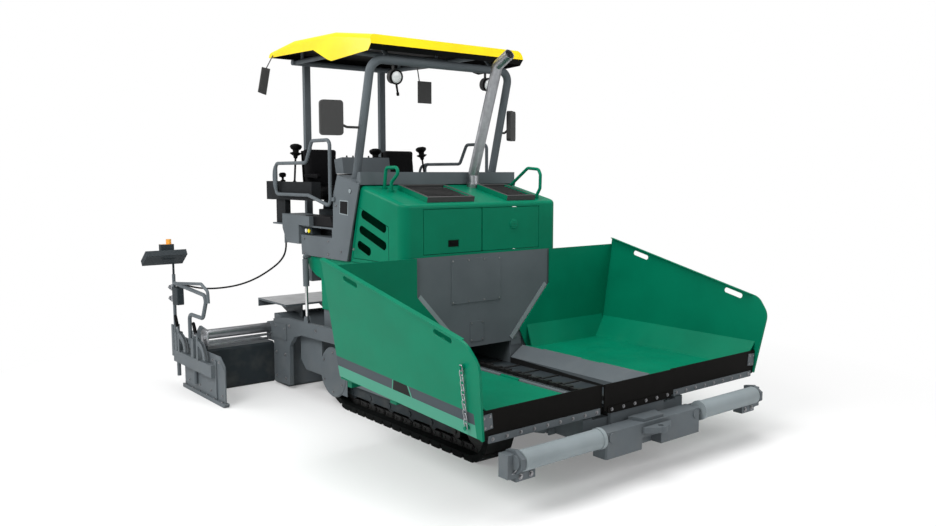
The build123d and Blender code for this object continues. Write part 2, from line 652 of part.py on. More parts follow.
def wing():
    """One folding half of the hopper: floor, side, rear wall, chamfer, ribs, knuckles and cylinder ears."""
    wall_front = WING_REAR_Y - PLATE
    inside = PLATE / math.cos(math.radians(LEAN)) - 2
    pieces = [wing_side()]
    floor_x = HINGE_X + HINGE_RADIUS + MOVE_GAP
    pieces.append(box((floor_x, side_x(FLOOR_Z) - inside), (WING_FRONT_Y, WING_REAR_Y), (FLOOR_Z - PLATE, FLOOR_Z)))
    wall = [(floor_x, FLOOR_Z - 2), (side_x(FLOOR_Z) - inside, FLOOR_Z - 2),
            (side_x(WING_WALL_TOP_Z) - inside, WING_WALL_TOP_Z), (WALL_TOP_X, WING_WALL_TOP_Z), (WALL_TOP_X, WALL_KINK_Z),
            (404, 762), (404, 738), (HINGE_X + 4, 612)]
    pieces.append(slab_y(wall, (wall_front, WING_REAR_Y)))
    bevel = [(CHAMFER_FOOT_X, FLOOR_Z - 2), (side_x(CHAMFER_TOP_Z) - inside, CHAMFER_TOP_Z),
             (side_x(CHAMFER_TOP_Z) - inside, CHAMFER_TOP_Z - 12), (CHAMFER_FOOT_X + 12, FLOOR_Z - 2)]
    pieces.append(slab_y(bevel, (WING_FRONT_Y, wall_front + 1)))
    rear_bevel = [(wall_front + 1, REAR_CHAMFER_TOP_Z), (wall_front - REAR_CHAMFER_DEPTH, FLOOR_Z - 2),
                  (wall_front - REAR_CHAMFER_DEPTH + 12, FLOOR_Z - 2), (wall_front + 1, REAR_CHAMFER_TOP_Z - 20)]
    pieces.append(slab_x(rear_bevel, (floor_x, side_x(FLOOR_Z) - inside)))
    rib_end = side_x(RIB_LOW_Z) - inside - 20
    for start, y in ((NOSE_OUTER_X + 10, (CYLINDER_Y - 42, CYLINDER_Y + 42)), (FRAME_OUTER_X + 10, (-1190, -1110)),
                     (FRAME_OUTER_X + 10, (-560, -500))):
        pieces.append(box((start, rib_end), y, (RIB_LOW_Z, FLOOR_Z - PLATE + 1)))
    pieces.append(box((NOSE_OUTER_X + 10, side_x(RIB_LOW_Z) - inside - 2), (WING_FRONT_Y, WING_FRONT_Y + 40),
                      (RIB_LOW_Z, FLOOR_Z - PLATE + 1)))
    for y in ((-2150, -1941), (-1409, -1196), (-709, -480)):
        pieces.append(rod_y(HINGE_X, y, HINGE_Z, HINGE_RADIUS))
        pieces.append(box((HINGE_X, floor_x + 2), y, (FLOOR_Z - PLATE, FLOOR_Z)))
    for y in ((CYLINDER_Y - 40, CYLINDER_Y - 28), (CYLINDER_Y + 28, CYLINDER_Y + 40)):
        ear = [(ROD_EYE_X - 60, RIB_LOW_Z + 1), (ROD_EYE_X + 60, RIB_LOW_Z + 1), (ROD_EYE_X + 28, ROD_EYE_Z - 30),
               (ROD_EYE_X - 28, ROD_EYE_Z - 30)]
        pieces.append(slab_y(ear, y))
    return join(*pieces) - rod_y(HINGE_X, (-2200, -440), HINGE_Z, HINGE_PIN_RADIUS + RUN_GAP)


def side_apron():
    """Rubber apron across the front of a wing; its outer edge follows the leaning side."""
    inside = PLATE / math.cos(math.radians(LEAN)) + SEAT_GAP
    outline = [(APRON_INNER_X, APRON_LOW_Z), (side_x(APRON_LOW_Z) - inside, APRON_LOW_Z),
               (side_x(APRON_TOP_Z) - inside, APRON_TOP_Z), (APRON_INNER_X, APRON_TOP_Z)]
    return slab_y(outline, (WING_FRONT_Y - APRON_THICK, WING_FRONT_Y))


def centre_apron():
    """Middle rubber apron, in front of the two side ones, with its clamping strip."""
    rear = WING_FRONT_Y - APRON_THICK - MOVE_GAP
    apron = box((-380, 400), (rear - APRON_THICK, rear), (APRON_LOW_Z, APRON_TOP_Z))
    strip = [(-350, STRIP_LOW_Z + 8), (-338, STRIP_LOW_Z), (353, STRIP_LOW_Z), (365, STRIP_LOW_Z + 8), (365, STRIP_TOP_Z),
             (-350, STRIP_TOP_Z)]
    return join(apron, slab_y(strip, (rear - APRON_THICK - STRIP_THICK, rear - APRON_THICK)))


def wing_strip():
    """Clamping strip of the side apron and the corner plate beside it."""
    front = WING_FRONT_Y - APRON_THICK
    strip = box((414, 1455), (front - STRIP_THICK, front), (STRIP_LOW_Z, STRIP_TOP_Z))
    corner = slab_y([(1414, 575), (1496, 566), (1508, 668), (1424, 675)], (front - 4, front))
    return strip, corner


def hopper_cylinder():
    """Barrel and rod under a wing, drawn along the line between their two pins."""
    reach = math.hypot(ROD_EYE_X - BARREL_X, ROD_EYE_Z - BARREL_Z)
    lift = math.degrees(math.atan2(ROD_EYE_Z - BARREL_Z, ROD_EYE_X - BARREL_X))
    place = Pos(BARREL_X, CYLINDER_Y, BARREL_Z) * Rot(0, -lift, 0)
    tube = rod_x((EYE_RADIUS - 6, BARREL_LENGTH), 0, 0, BARREL_RADIUS)
    eye = rod_y(0, (-40, 40), 0, EYE_RADIUS)
    barrel = join(tube, eye) - rod_x((ROD_INSET - 20, BARREL_LENGTH + 1), 0, 0, ROD_RADIUS + RUN_GAP)
    barrel = barrel - rod_y(0, (-41, 41), 0, PIN_RADIUS + RUN_GAP)
    shaft = rod_x((ROD_INSET, reach - EYE_RADIUS + 6), 0, 0, ROD_RADIUS)
    head = rod_y(reach, (-22, 22), 0, EYE_RADIUS - 4) - rod_y(reach, (-23, 23), 0, PIN_RADIUS)
    return place * barrel, place * join(shaft, head)


# Push bar

def push_bar():
    """Swinging cross bar with tow lug, roller arms, back beams, foot blocks and top plate."""
    block = box((-PUSH_HALF, PUSH_HALF), (PUSH_FRONT_Y, PUSH_REAR_Y), (PUSH_LOW_Z, PUSH_TOP_Z))
    block = chamfer(block.edges().filter_by(Axis.Z), 12)
    block = block - box((-150, 66), (PUSH_FRONT_Y - 1, PUSH_FRONT_Y + 90), (PUSH_LOW_Z - 1, 300))
    block = block - box((-150, 150), (PIVOT_Y - 70, PUSH_REAR_Y + 1), (308, 364))
    block = block - rod_z(0, PIVOT_Y, (290, 380), PIVOT_RADIUS + RUN_GAP)
    lug = slab_z([(-LUG_HALF, PUSH_FRONT_Y + 10), (-LUG_HALF, PUSH_FRONT_Y - 20), (-60, FRONT_Y + 12), (60, FRONT_Y + 12),
                  (LUG_HALF, PUSH_FRONT_Y - 20), (LUG_HALF, PUSH_FRONT_Y + 10)], (338, 378))
    tip = rod_z(0, LUG_HOLE_Y, (338, 378), LUG_HOLE_Y - FRONT_Y)
    pieces = [block, lug, tip]
    for side in (1, -1):
        half = [rod_y(475, (PUSH_FRONT_Y - 10, PUSH_FRONT_Y + 2), 366, 34)]
        half.append(box((PUSH_HALF - 2, PUSH_END_X - 40), (PUSH_REAR_Y - 16, PUSH_REAR_Y), (286, 400)))
        half.append(slab_x([(PUSH_REAR_Y - 2, 250), (PUSH_REAR_Y - 2, 430), (PUSH_ROLLER_Y + 10, 445),
                            (PUSH_ROLLER_Y - 62, 400), (PUSH_ROLLER_Y - 62, 330), (PUSH_ROLLER_Y, 292), (-2285, 250)],
                           (PUSH_ROLLER_OUTER_X + 8, PUSH_ROLLER_OUTER_X + 40)))
        half.append(box((PUSH_ROLLER_OUTER_X + 30, PUSH_END_X), (PUSH_REAR_Y - 90, PUSH_REAR_Y), (262, 420)))
        half.append(rod_x((PUSH_ROLLER_OUTER_X + 30, PUSH_ROLLER_OUTER_X + 54), PUSH_ROLLER_Y, PUSH_ROLLER_Z, 48))
        half.append(rod_x((PUSH_HALF - 2, PUSH_ROLLER_OUTER_X + 30), PUSH_ROLLER_Y, PUSH_ROLLER_Z, PUSH_AXLE_RADIUS))
        half.append(box((1160, PUSH_END_X - 70), (PUSH_REAR_Y - 90, PUSH_REAR_Y - 6), (232, 292)))
        if side < 0:
            half = [mirror(piece, about=Plane.YZ) for piece in half]
        pieces.extend(half)
    top_plate = slab_z([(-150, PUSH_REAR_Y), (-110, PUSH_FRONT_Y + 20), (110, PUSH_FRONT_Y + 20), (150, PUSH_REAR_Y)],
                       (PUSH_TOP_Z - 1, PUSH_TOP_Z + 22))
    pieces.append(top_plate)
    bar = join(*pieces)
    return bar - rod_z(0, LUG_HOLE_Y, (330, 390), LUG_HOLE_RADIUS)


def push_roller():
    """Hollow roller on its axle, with a rounded outer end and a collar at the inner end."""
    roller = rod_x((PUSH_ROLLER_INNER_X + 30, PUSH_ROLLER_OUTER_X), PUSH_ROLLER_Y, PUSH_ROLLER_Z, PUSH_ROLLER_RADIUS)
    roller = fillet(roller.edges().sort_by(Axis.X)[-1], 14)
    collar = rod_x((PUSH_ROLLER_INNER_X, PUSH_ROLLER_INNER_X + 31), PUSH_ROLLER_Y, PUSH_ROLLER_Z, PUSH_ROLLER_RADIUS + 6)
    bore = rod_x((PUSH_ROLLER_INNER_X - 1, PUSH_ROLLER_OUTER_X + 1), PUSH_ROLLER_Y, PUSH_ROLLER_Z,
                 PUSH_AXLE_RADIUS + RUN_GAP)
    return join(roller, collar) - bore


# Hood

def hood_form(inset):
    """The hood's closed outer form, or its inside when drawn in by the skin."""
    slope = (HOOD_REAR_TOP[1] - HOOD_TOP_FRONT_Z) / (HOOD_REAR_TOP[0] - WALL_Y)
    front = WALL_Y + inset
    rear = HOOD_REAR_TOP[0] - inset
    foot = HOOD_REAR_FOOT[0] - inset
    low = HOOD_REAR_FOOT[1] - (inset and 1)
    outline = [(front, low), (front, HOOD_TOP_FRONT_Z - inset), (rear, HOOD_REAR_TOP[1] - inset - slope * inset),
               (foot, low)]
    form = slab_x(outline, (inset - BODY_OUTER_X, BODY_OUTER_X - inset))
    corners = [edge for edge in form.edges().filter_by(Axis.Z) if edge.center().Y < front + 1]
    form = fillet(corners, HOOD_CORNER - inset)
    rim = [edge for edge in form.edges() if edge.bounding_box().min.Z > HOOD_TOP_FRONT_Z - inset - 5
           and edge.center().Y < rear - 5]
    return fillet(rim, HOOD_EDGE - inset)


def hood_and_doors():
    """Hollow hood, its two front doors and the slotted side doors."""
    shell = hood_form(0) - hood_form(HOOD_SKIN)
    doors = []
    for left, right in zip(FRONT_SEAMS, FRONT_SEAMS[1:]):
        opening = box((left, right), (WALL_Y - 5, WALL_Y + HOOD_SKIN + 20), FRONT_DOOR_Z)
        shell = shell - opening
        door = box((left + DOOR_GAP, right - DOOR_GAP), (WALL_Y, WALL_Y + HOOD_SKIN),
                   (FRONT_DOOR_Z[0] + DOOR_GAP, FRONT_DOOR_Z[1] - DOOR_GAP))
        doors.append(fillet(door.edges().filter_by(Axis.Y), 12))
    shell = shell - box((-WALL_TOP_X - 24, WALL_TOP_X + 24), (WALL_Y - 1, WALL_Y + HOOD_SKIN + 1),
                        (HOOD_REAR_FOOT[1] - 1, WING_WALL_TOP_Z + SEAT_GAP))
    hinge_x = (FRONT_SEAMS[0] + DOOR_GAP + 8, FRONT_SEAMS[2] - DOOR_GAP - 8)
    for i in (0, 1):
        for z in ((FRONT_DOOR_Z[0] - 2, FRONT_DOOR_Z[0] + 25), (FRONT_DOOR_Z[1] - 25, FRONT_DOOR_Z[1] + 2)):
            shell = shell + rod_z(hinge_x[i], WALL_Y + HOOD_SKIN / 2, z, DOOR_PIN_RADIUS)
            doors[i] = doors[i] - rod_z(hinge_x[i], WALL_Y + HOOD_SKIN / 2, z, DOOR_PIN_RADIUS + RUN_GAP)
    doors[0] = doors[0] - box((-423, -303), (WALL_Y - 1, WALL_Y + 6), (1558, 1625))
    lean = (HOOD_REAR_TOP[0] - HOOD_REAR_FOOT[0]) / (HOOD_REAR_TOP[1] - HOOD_REAR_FOOT[1])

    def rear_y(z, margin):
        return HOOD_REAR_FOOT[0] + (z - HOOD_REAR_FOOT[1]) * lean - margin

    low, high = 1432.0, 1900.0
    high_front = high - (rear_y(high, 26) - SIDE_DOOR_FRONT_Y) * math.tan(math.radians(SLOT_SLOPE))

    def door_outline(gap):
        return [(SIDE_DOOR_FRONT_Y + gap, low + gap), (SIDE_DOOR_FRONT_Y + gap, high_front - gap),
                (rear_y(high - gap, 26 + gap), high - gap), (rear_y(low + gap, 26 + gap), low + gap)]

    side_doors = []
    for side in (1, -1):
        walls = (BODY_OUTER_X - HOOD_SKIN - 20, BODY_OUTER_X + 5)
        cut = slab_x(door_outline(0), walls)
        panel = slab_x(door_outline(DOOR_GAP), (BODY_OUTER_X - HOOD_SKIN, BODY_OUTER_X))
        for i in range(4):
            start_z = 1846 - 137 * i
            start_y = rear_y(start_z, 78)
            length = SLOT_LENGTH + 22 * i
            end_gap = start_y - length * math.cos(math.radians(SLOT_SLOPE)) - (SIDE_DOOR_FRONT_Y + 40)
            length = length + min(0.0, end_gap)
            drop = length * math.sin(math.radians(SLOT_SLOPE))
            if start_z - drop - SLOT_WIDTH / 2 < low + 30:
                length = (start_z - SLOT_WIDTH / 2 - low - 30) / math.sin(math.radians(SLOT_SLOPE))
            if length > SLOT_WIDTH:
                bar = box((walls[0], walls[1]), (-length + SLOT_WIDTH / 2, -SLOT_WIDTH / 2), (-SLOT_WIDTH / 2, SLOT_WIDTH / 2))
                bar = bar + rod_x(walls, -SLOT_WIDTH / 2, 0, SLOT_WIDTH / 2)
                bar = bar + rod_x(walls, -length + SLOT_WIDTH / 2, 0, SLOT_WIDTH / 2)
                panel = panel - Pos(0, start_y, start_z) * Rot(SLOT_SLOPE, 0, 0) * bar
        pins = []
        for z in ((low - 3, low + 25), (high_front - 25, high_front + 10)):
            place = (BODY_OUTER_X - HOOD_SKIN / 2, SIDE_DOOR_FRONT_Y + DOOR_GAP + 8)
            pins.append(rod_z(*place, z, DOOR_PIN_RADIUS))
            panel = panel - rod_z(*place, z, DOOR_PIN_RADIUS + RUN_GAP)
        if side < 0:
            cut = mirror(cut, about=Plane.YZ)
            panel = mirror(panel, about=Plane.YZ)
            pins = [mirror(pin, about=Plane.YZ) for pin in pins]
        shell = join(shell - cut, *pins)
        side_doors.append(panel)
    return shell, doors, side_doors


def hood_top_z(y):
    slope = (HOOD_REAR_TOP[1] - HOOD_TOP_FRONT_Z) / (HOOD_REAR_TOP[0] - WALL_Y)
    return HOOD_TOP_FRONT_Z + (y - WALL_Y) * slope


def intake_grille(x, y):
    """A framed air grille that lies on the sloping top."""
    slope = math.degrees(math.atan2(hood_top_z(y[1]) - hood_top_z(y[0]), y[1] - y[0]))
    middle = ((x[0] + x[1]) / 2, (y[0] + y[1]) / 2)
    wide = x[1] - x[0]
    deep = (y[1] - y[0]) / math.cos(math.radians(slope))
    frame = Box(wide, deep, GRILLE_HEIGHT) - Pos(0, 0, 12) * Box(wide - 60, deep - 60, GRILLE_HEIGHT)
    slats = int((deep - 90) / GRILLE_PITCH)
    for i in range(slats):
        across = (i - (slats - 1) / 2) * GRILLE_PITCH
        frame = frame + Pos(0, across, 0) * Rot(35, 0, 0) * Box(wide - 58, 5, 30)
    lift = (GRILLE_HEIGHT / 2 + SEAT_GAP) / math.cos(math.radians(slope))
    return Pos(middle[0], middle[1], hood_top_z(middle[1]) + lift) * Rot(slope, 0, 0) * frame


def hood_slope():
    return math.degrees(math.atan2(HOOD_REAR_TOP[1] - HOOD_TOP_FRONT_Z, HOOD_REAR_TOP[0] - WALL_Y))


def exhaust():
    """Tail pipe with a bend at its foot and a cut, open tip."""
    foot_z = hood_top_z(EXHAUST_FOOT[1])
    lean_y = (3175 - 2190) * 0.357
    path = FilletPolyline((EXHAUST_FOOT[0], EXHAUST_FOOT[1], foot_z + 20), (EXHAUST_FOOT[0], EXHAUST_FOOT[1] + 6, 2180),
                          (EXHAUST_FOOT[0], EXHAUST_FOOT[1] + 6 - lean_y, 3175), (EXHAUST_FOOT[0], -385, 3262), radius=60)
    section = Plane(origin=path @ 0, z_dir=path % 0)
    outer = sweep(section * Circle(EXHAUST_RADIUS), path=path)
    tip = path @ 1
    heading = path % 1
    bore = rod(tip - heading * 90, tip + heading * 2, EXHAUST_RADIUS - 6)
    flange = Pos(EXHAUST_FOOT[0], EXHAUST_FOOT[1], foot_z) * Rot(hood_slope(), 0, 0)
    flange = flange * Pos(0, 0, 16 + SEAT_GAP) * Cylinder(EXHAUST_RADIUS + 18, 32)
    return join(outer, flange) - bore


def grab_handle(points):
    """Bent tube handle whose two feet stand on the sloping hood."""
    feet = []
    for x, y in ((points[0][0], points[0][1]), (points[-1][0], points[-1][1])):
        feet.append((x, y, hood_top_z(y) + 15))
    tube = bent_tube([feet[0]] + points[1:-1] + [feet[1]], HANDLE_RADIUS, 38)
    pieces = [tube]
    for x, y, z in feet:
        foot = Pos(x, y, hood_top_z(y)) * Rot(hood_slope(), 0, 0) * Pos(0, 0, 10 + SEAT_GAP) * Cylinder(24, 20)
        pieces.append(foot)
    return join(*pieces)


def grab_handles():
    right = grab_handle([(-720, 94, 0), (-720, 66, 2244), (-720, -196, 2247), (-720, -17, 2118), (-720, -10, 0)])
    left = grab_handle([(720, 62, 0), (720, -202, 2244), (720, -351, 2233), (720, -379, 2183), (720, -375, 2053),
                        (720, -323, 0)])
    return right, left


# Side bodies and the operator's stand

def side_panel():
    """Green side body over the track, with the fender that ends it."""
    outline = [(BODY_FRONT_Y, PANEL_LOW_Z), (BODY_FRONT_Y, BODY_TOP_Z), (1245, BODY_TOP_Z - 8), (1222, 1345), (1150, 1262),
               (1050, 1215), (950, 1193), (BODY_REAR_Y - 2, PANEL_LOW_Z)]
    panel = slab_x(outline, (BODY_OUTER_X - 13.5, BODY_OUTER_X + 5))
    return panel - rod_x((BODY_OUTER_X - 20, BODY_OUTER_X + 10), LIFT_TOP[1], LIFT_TOP[2], LIFT_PIN_RADIUS + RUN_GAP)


def stand():
    """Box under the deck, deck plate, bulkhead behind the hood and the dash rail in front."""
    low = BODY_TOP_Z + 6
    rear = 1300.0
    base = slab_x([(428, low), (rear, low), (rear, DECK_Z - 14), (356, DECK_Z - 14)], (-STAND_INNER_X, STAND_INNER_X))
    for x in ((-STAND_OUTER_X, -CABINET_INNER_X), (CABINET_INNER_X, STAND_OUTER_X)):
        base = base - box(x, (RECESS_FRONT_Y, rear + 1), (RECESS_LOW_Z, DECK_Z))
    deck = box((-STAND_INNER_X, STAND_INNER_X), (560, DECK_REAR_Y), (DECK_Z - 15, DECK_Z))
    for x in ((-STAND_OUTER_X, SEAT_GAP - CABINET_INNER_X), (CABINET_INNER_X - SEAT_GAP, STAND_OUTER_X)):
        deck = deck - box(x, (CABINET_FRONT_Y - SEAT_GAP, CABINET_REAR_Y + SEAT_GAP), (DECK_Z - 20, DECK_Z + 5))
    bulkhead = slab_x([(560, DECK_Z - 16), (576, DECK_Z - 16), (576, 2177), (560, 2174)],
                      (-STAND_INNER_X, STAND_INNER_X))
    cowl = slab_x([(236, 2094), (236, 2109), (576, 2178), (576, 2163)], (-STAND_INNER_X, STAND_INNER_X))
    dash = slab_x([(196, 2094), (240, 2094), (262, 2150), (240, DASH_TOP_Z), (196, DASH_TOP_Z)],
                  (-STAND_INNER_X, STAND_INNER_X))
    web = box((20 - BODY_OUTER_X, BODY_OUTER_X - 20), (FRAME_REAR_Y + SEAT_GAP, 1240), (BODY_TOP_Z - 260, low + 2))
    return join(base, deck, bulkhead, cowl, dash, web)


def stand_side():
    """Grey side plate: the slanted column beside the hood and the strip under the deck."""
    outline = [(421, BODY_TOP_Z + 1), (196, 2102), (575, 2180), (654, 1997), (664, DECK_Z + 2), (RECESS_FRONT_Y, DECK_Z + 1),
               (RECESS_FRONT_Y, RECESS_LOW_Z), (1300, RECESS_LOW_Z), (1281, BODY_TOP_Z + 1)]
    plate = slab_x(outline, (STAND_OUTER_X - STAND_SHEET, STAND_OUTER_X))
    return plate - rod_x((STAND_OUTER_X - 20, STAND_OUTER_X + 1), 350, 2038, 24)


def cabinet():
    """Grey control cabinet behind the stand's strip, its top reaching forward over the deck."""
    outline = [(CABINET_FRONT_Y, 1504), (CABINET_FRONT_Y, DECK_Z + SEAT_GAP), (CABINET_TOP_FRONT_Y, DECK_Z + SEAT_GAP),
               (CABINET_TOP_FRONT_Y, 1780), (CABINET_REAR_Y, 1792), (CABINET_REAR_Y, 1647), (1563, 1504)]
    gland = rod_z(-CABLE_START[0], CABLE_START[1], (CABLE_START[2] + SEAT_GAP, 1640), CABLE_RADIUS + 6)
    return join(slab_x(outline, (CABINET_INNER_X, 940)), gland)


def side_box():
    """Dark box with the light end, outside the seat."""
    dark = box((800, 900), (1100, 1936), (1930, 2110))
    leg = box((820, 880), (1700, 1900), (DECK_Z, 1931))
    end = box((800, 900), (1936 + SEAT_GAP, 2080), (1925, 2115))
    return join(dark, leg), end


def guard_rail():
    """Closed tube loop beside the stand, stepped down to the rear, with its two feet."""
    x = STAND_OUTER_X + RAIL_RADIUS + SEAT_GAP
    points = [(x, 672, 1890), (x, 672, 2500), (x, 1010, 2500), (x, 1130, 2295), (x, 1780, 2295), (x, 1780, 1985),
              (x, 1094, 1985)]
    loop = closed_tube(points, RAIL_RADIUS, 55)
    foot = box((STAND_OUTER_X + SEAT_GAP, x), (610, 672), (1940, 1975))
    return join(loop, foot)


def console():
    """Dash console between the seats, with its pedestal."""
    top = slab_x([(930, 2190), (1080, 2190), (1110, 2330), (960, 2350)], (-640, -100))
    stem = box((-480, -260), (940, 1060), (DECK_Z + SEAT_GAP, 2191))
    return join(top, stem)


def seat():
    """Swivelling seat: pedestal top, cushion and backrest."""
    base = rod_z(SEAT_X, SEAT_Y, (DECK_Z + 140, CUSHION_Z - 8), 70)
    pan = box((SEAT_X - 190, SEAT_X + 190), (SEAT_Y - 200, SEAT_Y + 160), (CUSHION_Z - 30, CUSHION_Z))
    cushion = box((SEAT_X - 215, SEAT_X + 215), (SEAT_Y - 250, SEAT_Y + 200), (CUSHION_Z, CUSHION_Z + 100))
    cushion = fillet(cushion.edges().filter_by(Axis.Z), 60)
    back = slab_x([(SEAT_Y + 110, CUSHION_Z + 50), (SEAT_Y + 200, CUSHION_Z + 40), (SEAT_Y + 250, 2430), (SEAT_Y + 170, 2440)],
                  (SEAT_X - 195, SEAT_X + 195))
    return join(base, pan, cushion, back)


def seat_foot():
    """Bellows and floor plate under a seat."""
    return join(rod_z(SEAT_X, SEAT_Y, (DECK_Z + 8, DECK_Z + 140 - SEAT_GAP), 110),
                box((SEAT_X - 150, SEAT_X + 150), (SEAT_Y - 150, SEAT_Y + 150), (DECK_Z + SEAT_GAP, DECK_Z + 10)))


# Roof

def roof_shell():
    """Yellow roof: a shallow crowned shell with deeper front sides."""
    outline = [(ROOF_FRONT_Y + 48, 3246), (727, 3217), (800, 3240), (1062, 3353), (ROOF_REAR_Y, 3375),
               (ROOF_REAR_Y - 10, 3440), (1500, 3493), (700, 3475), (ROOF_FRONT_Y + 30, 3385), (ROOF_FRONT_Y, 3300)]
    form = slab_x(outline, (-ROOF_HALF, ROOF_HALF))
    crown = [edge for edge in form.edges() if abs(edge.center().X) > ROOF_HALF - 1 and edge.center().Z > 3380
             and edge.length > 300]
    form = fillet(crown, 55)
    hollow = [(ROOF_FRONT_Y + 30, 3200), (ROOF_REAR_Y - 24, 3200)] + ROOF_CEILING
    inside = slab_x(hollow, (-ROOF_HALF + ROOF_SKIN, ROOF_HALF - ROOF_SKIN))
    inner_crown = [edge for edge in inside.edges() if abs(edge.center().X) > ROOF_HALF - ROOF_SKIN - 1
                   and edge.center().Z > 3380 and edge.length > 300]
    inside = fillet(inner_crown, 45)
    return form - inside


def ceiling_z(y):
    """Height of the roof's underside."""
    for (y1, z1), (y0, z0) in zip(ROOF_CEILING, ROOF_CEILING[1:]):
        if y0 <= y <= y1:
            return z0 + (z1 - z0) * (y - y0) / (y1 - y0)
    return ROOF_CEILING[-1][1]


def roof_frame():
    """Front hoop, rear posts and the rails that carry the roof."""
    foot = (438.8, 2153.3)
    hoop = bent_tube([(-POST_X, *foot), (-POST_X, *HOOP_TOP), (POST_X, *HOOP_TOP), (POST_X, *foot)], POST_RADIUS, 120)
    pieces = [hoop]
    for side in (1, -1):
        pieces.append(rod((side * 600, *HOOP_TOP), (side * 600, 330, 3345), 22))
        pieces.append(rod((side * 600, 320, 3340), (side * 600, 1950, 3345), 24))
        for y in (430, 1100, 1800):
            top = min(ceiling_z(y - 16), ceiling_z(y + 16)) - SEAT_GAP
            pieces.append(rod_z(side * 600, y, (3345, top), 16))
        pieces.append(box(tuple(sorted((side * (REAR_POST_X - 35), side * (REAR_POST_X + 35)))),
                          (DECK_REAR_Y + SEAT_GAP, REAR_POST_Y + 40), (1620, 3340)))
    pieces.append(rod_x((-640, 640), 1950, 3345, 30))
    pieces.append(rod_x((-640, 640), 900, 3345, 24))
    return join(*pieces)


# Screed

def tow_arm():
    """Long arm from the tow point to the screed, with the curved gusset at its rear end."""
    outline = [(TOW_Y - 90, 625), (TOW_Y - 110, 680), (TOW_Y - 90, 735), (700, 752), (1300, 735), (1560, 735),
               (SCREED_FRONT_Y + 260, 690), (SCREED_FRONT_Y + 260, 30), (SCREED_FRONT_Y - 90, 45), (1505, 150),
               (1505, 455), (1400, 560), (1250, 600), (700, 612)]
    arm = slab_x(outline, (ARM_INNER_X, ARM_OUTER_X))
    arm = arm - rod_x((ARM_INNER_X - 1, ARM_OUTER_X + 1), TOW_Y, TOW_Z, TOW_PIN_RADIUS + RUN_GAP)
    for x in ((ARM_INNER_X, ARM_INNER_X + 8), (ARM_OUTER_X - 8, ARM_OUTER_X)):
        ear = slab_x([(LIFT_FOOT[1] - 50, 730), (LIFT_FOOT[1] + 50, 730), (LIFT_FOOT[1] + 24, LIFT_FOOT[2] + 26),
                      (LIFT_FOOT[1] - 24, LIFT_FOOT[2] + 26)], x)
        arm = arm + ear
    return arm


def screed_body():
    """Main screed box with its rounded casing, side plates, tow arms and tube guides."""
    casing = slab_x([(SCREED_FRONT_Y, 25), (SCREED_FRONT_Y + 30, 0), (SCREED_REAR_Y, 0), (SCREED_REAR_Y, SCREED_TOP_Z),
                     (SCREED_FRONT_Y + 210, SCREED_TOP_Z), (SCREED_FRONT_Y, 560)], (-SCREED_HALF, SCREED_HALF))
    crown = [edge for edge in casing.edges().filter_by(Axis.X) if edge.center().Z > 550 and edge.center().Y < SCREED_REAR_Y - 5]
    casing = fillet(crown, 80)
    pieces = [casing]
    for side in (1, -1):
        half = [tow_arm()]
        half.append(box((SCREED_HALF - 2, ARM_INNER_X + 2), (SCREED_FRONT_Y + 20, SCREED_REAR_Y - 80), (20, 660)))
        guide = box((SCREED_HALF - 40, SCREED_HALF + 24), (SCREED_REAR_Y - 20, TUBE_Y + 58), (TUBE_Z - 130, TUBE_Z + 60))
        guide = fillet(guide.edges().filter_by(Axis.X).sort_by(Axis.Y)[-2:], 40)
        guide = guide - rod_x((SCREED_HALF - 60, SCREED_HALF + 40), TUBE_Y, TUBE_Z, TUBE_RADIUS + RUN_GAP)
        for z in ROD_LEVELS:
            guide = guide - rod_x((SCREED_HALF - 60, SCREED_HALF + 40), ROD_Y, z, SLIDE_ROD_RADIUS + RUN_GAP)
        half.append(guide)
        for x in (260, 700):
            bracket = slab_x([(SCREED_REAR_Y - 140, SCREED_TOP_Z - 20), (SCREED_REAR_Y - 1, 660), (WALK_REAR_Y - 20, 800),
                              (WALK_REAR_Y - 20, WALK_Z - 20), (WALK_FRONT_Y + 60, WALK_Z - 20), (WALK_FRONT_Y + 60, SCREED_TOP_Z - 40)],
                             (x - 8, x + 8))
            half.append(bracket)
        if side < 0:
            half = [mirror(piece, about=Plane.YZ) for piece in half]
        pieces.extend(half)
    return join(*pieces)


def walkway():
    """Deck over the screed with a step edge and the box at its front corner."""
    deck = box((-WALK_HALF, WALK_HALF), (WALK_FRONT_Y, WALK_REAR_Y), (WALK_Z - 20, WALK_Z))
    edge = box((-WALK_HALF, WALK_HALF), (WALK_REAR_Y - 14, WALK_REAR_Y), (WALK_Z - 90, WALK_Z - 19))
    return join(deck, edge)


def extension():
    """Extending screed unit: box, end plate, tubes and rods that slide in the guides."""
    unit = box((EXT_INNER_X, EXT_OUTER_X), (EXT_FRONT_Y, EXT_REAR_Y), (0, EXT_TOP_Z))
    unit = chamfer(unit.edges().filter_by(Axis.X).sort_by(Axis.Y)[0:2], 20)
    end = slab_x([(EXT_FRONT_Y - 10, 20), (EXT_FRONT_Y - 10, 640), (TUBE_Y + 70, 660), (EXT_REAR_Y, 480), (EXT_REAR_Y, 20)],
                 (EXT_OUTER_X - 1, EXT_OUTER_X + 20))
    tubes = [rod_x((TUBE_INNER_X, EXT_OUTER_X + 1), TUBE_Y, TUBE_Z, TUBE_RADIUS)]
    for z in ROD_LEVELS:
        tubes.append(rod_x((TUBE_INNER_X, EXT_OUTER_X + 1), ROD_Y, z, SLIDE_ROD_RADIUS))
    return unit.fuse(end, *tubes)


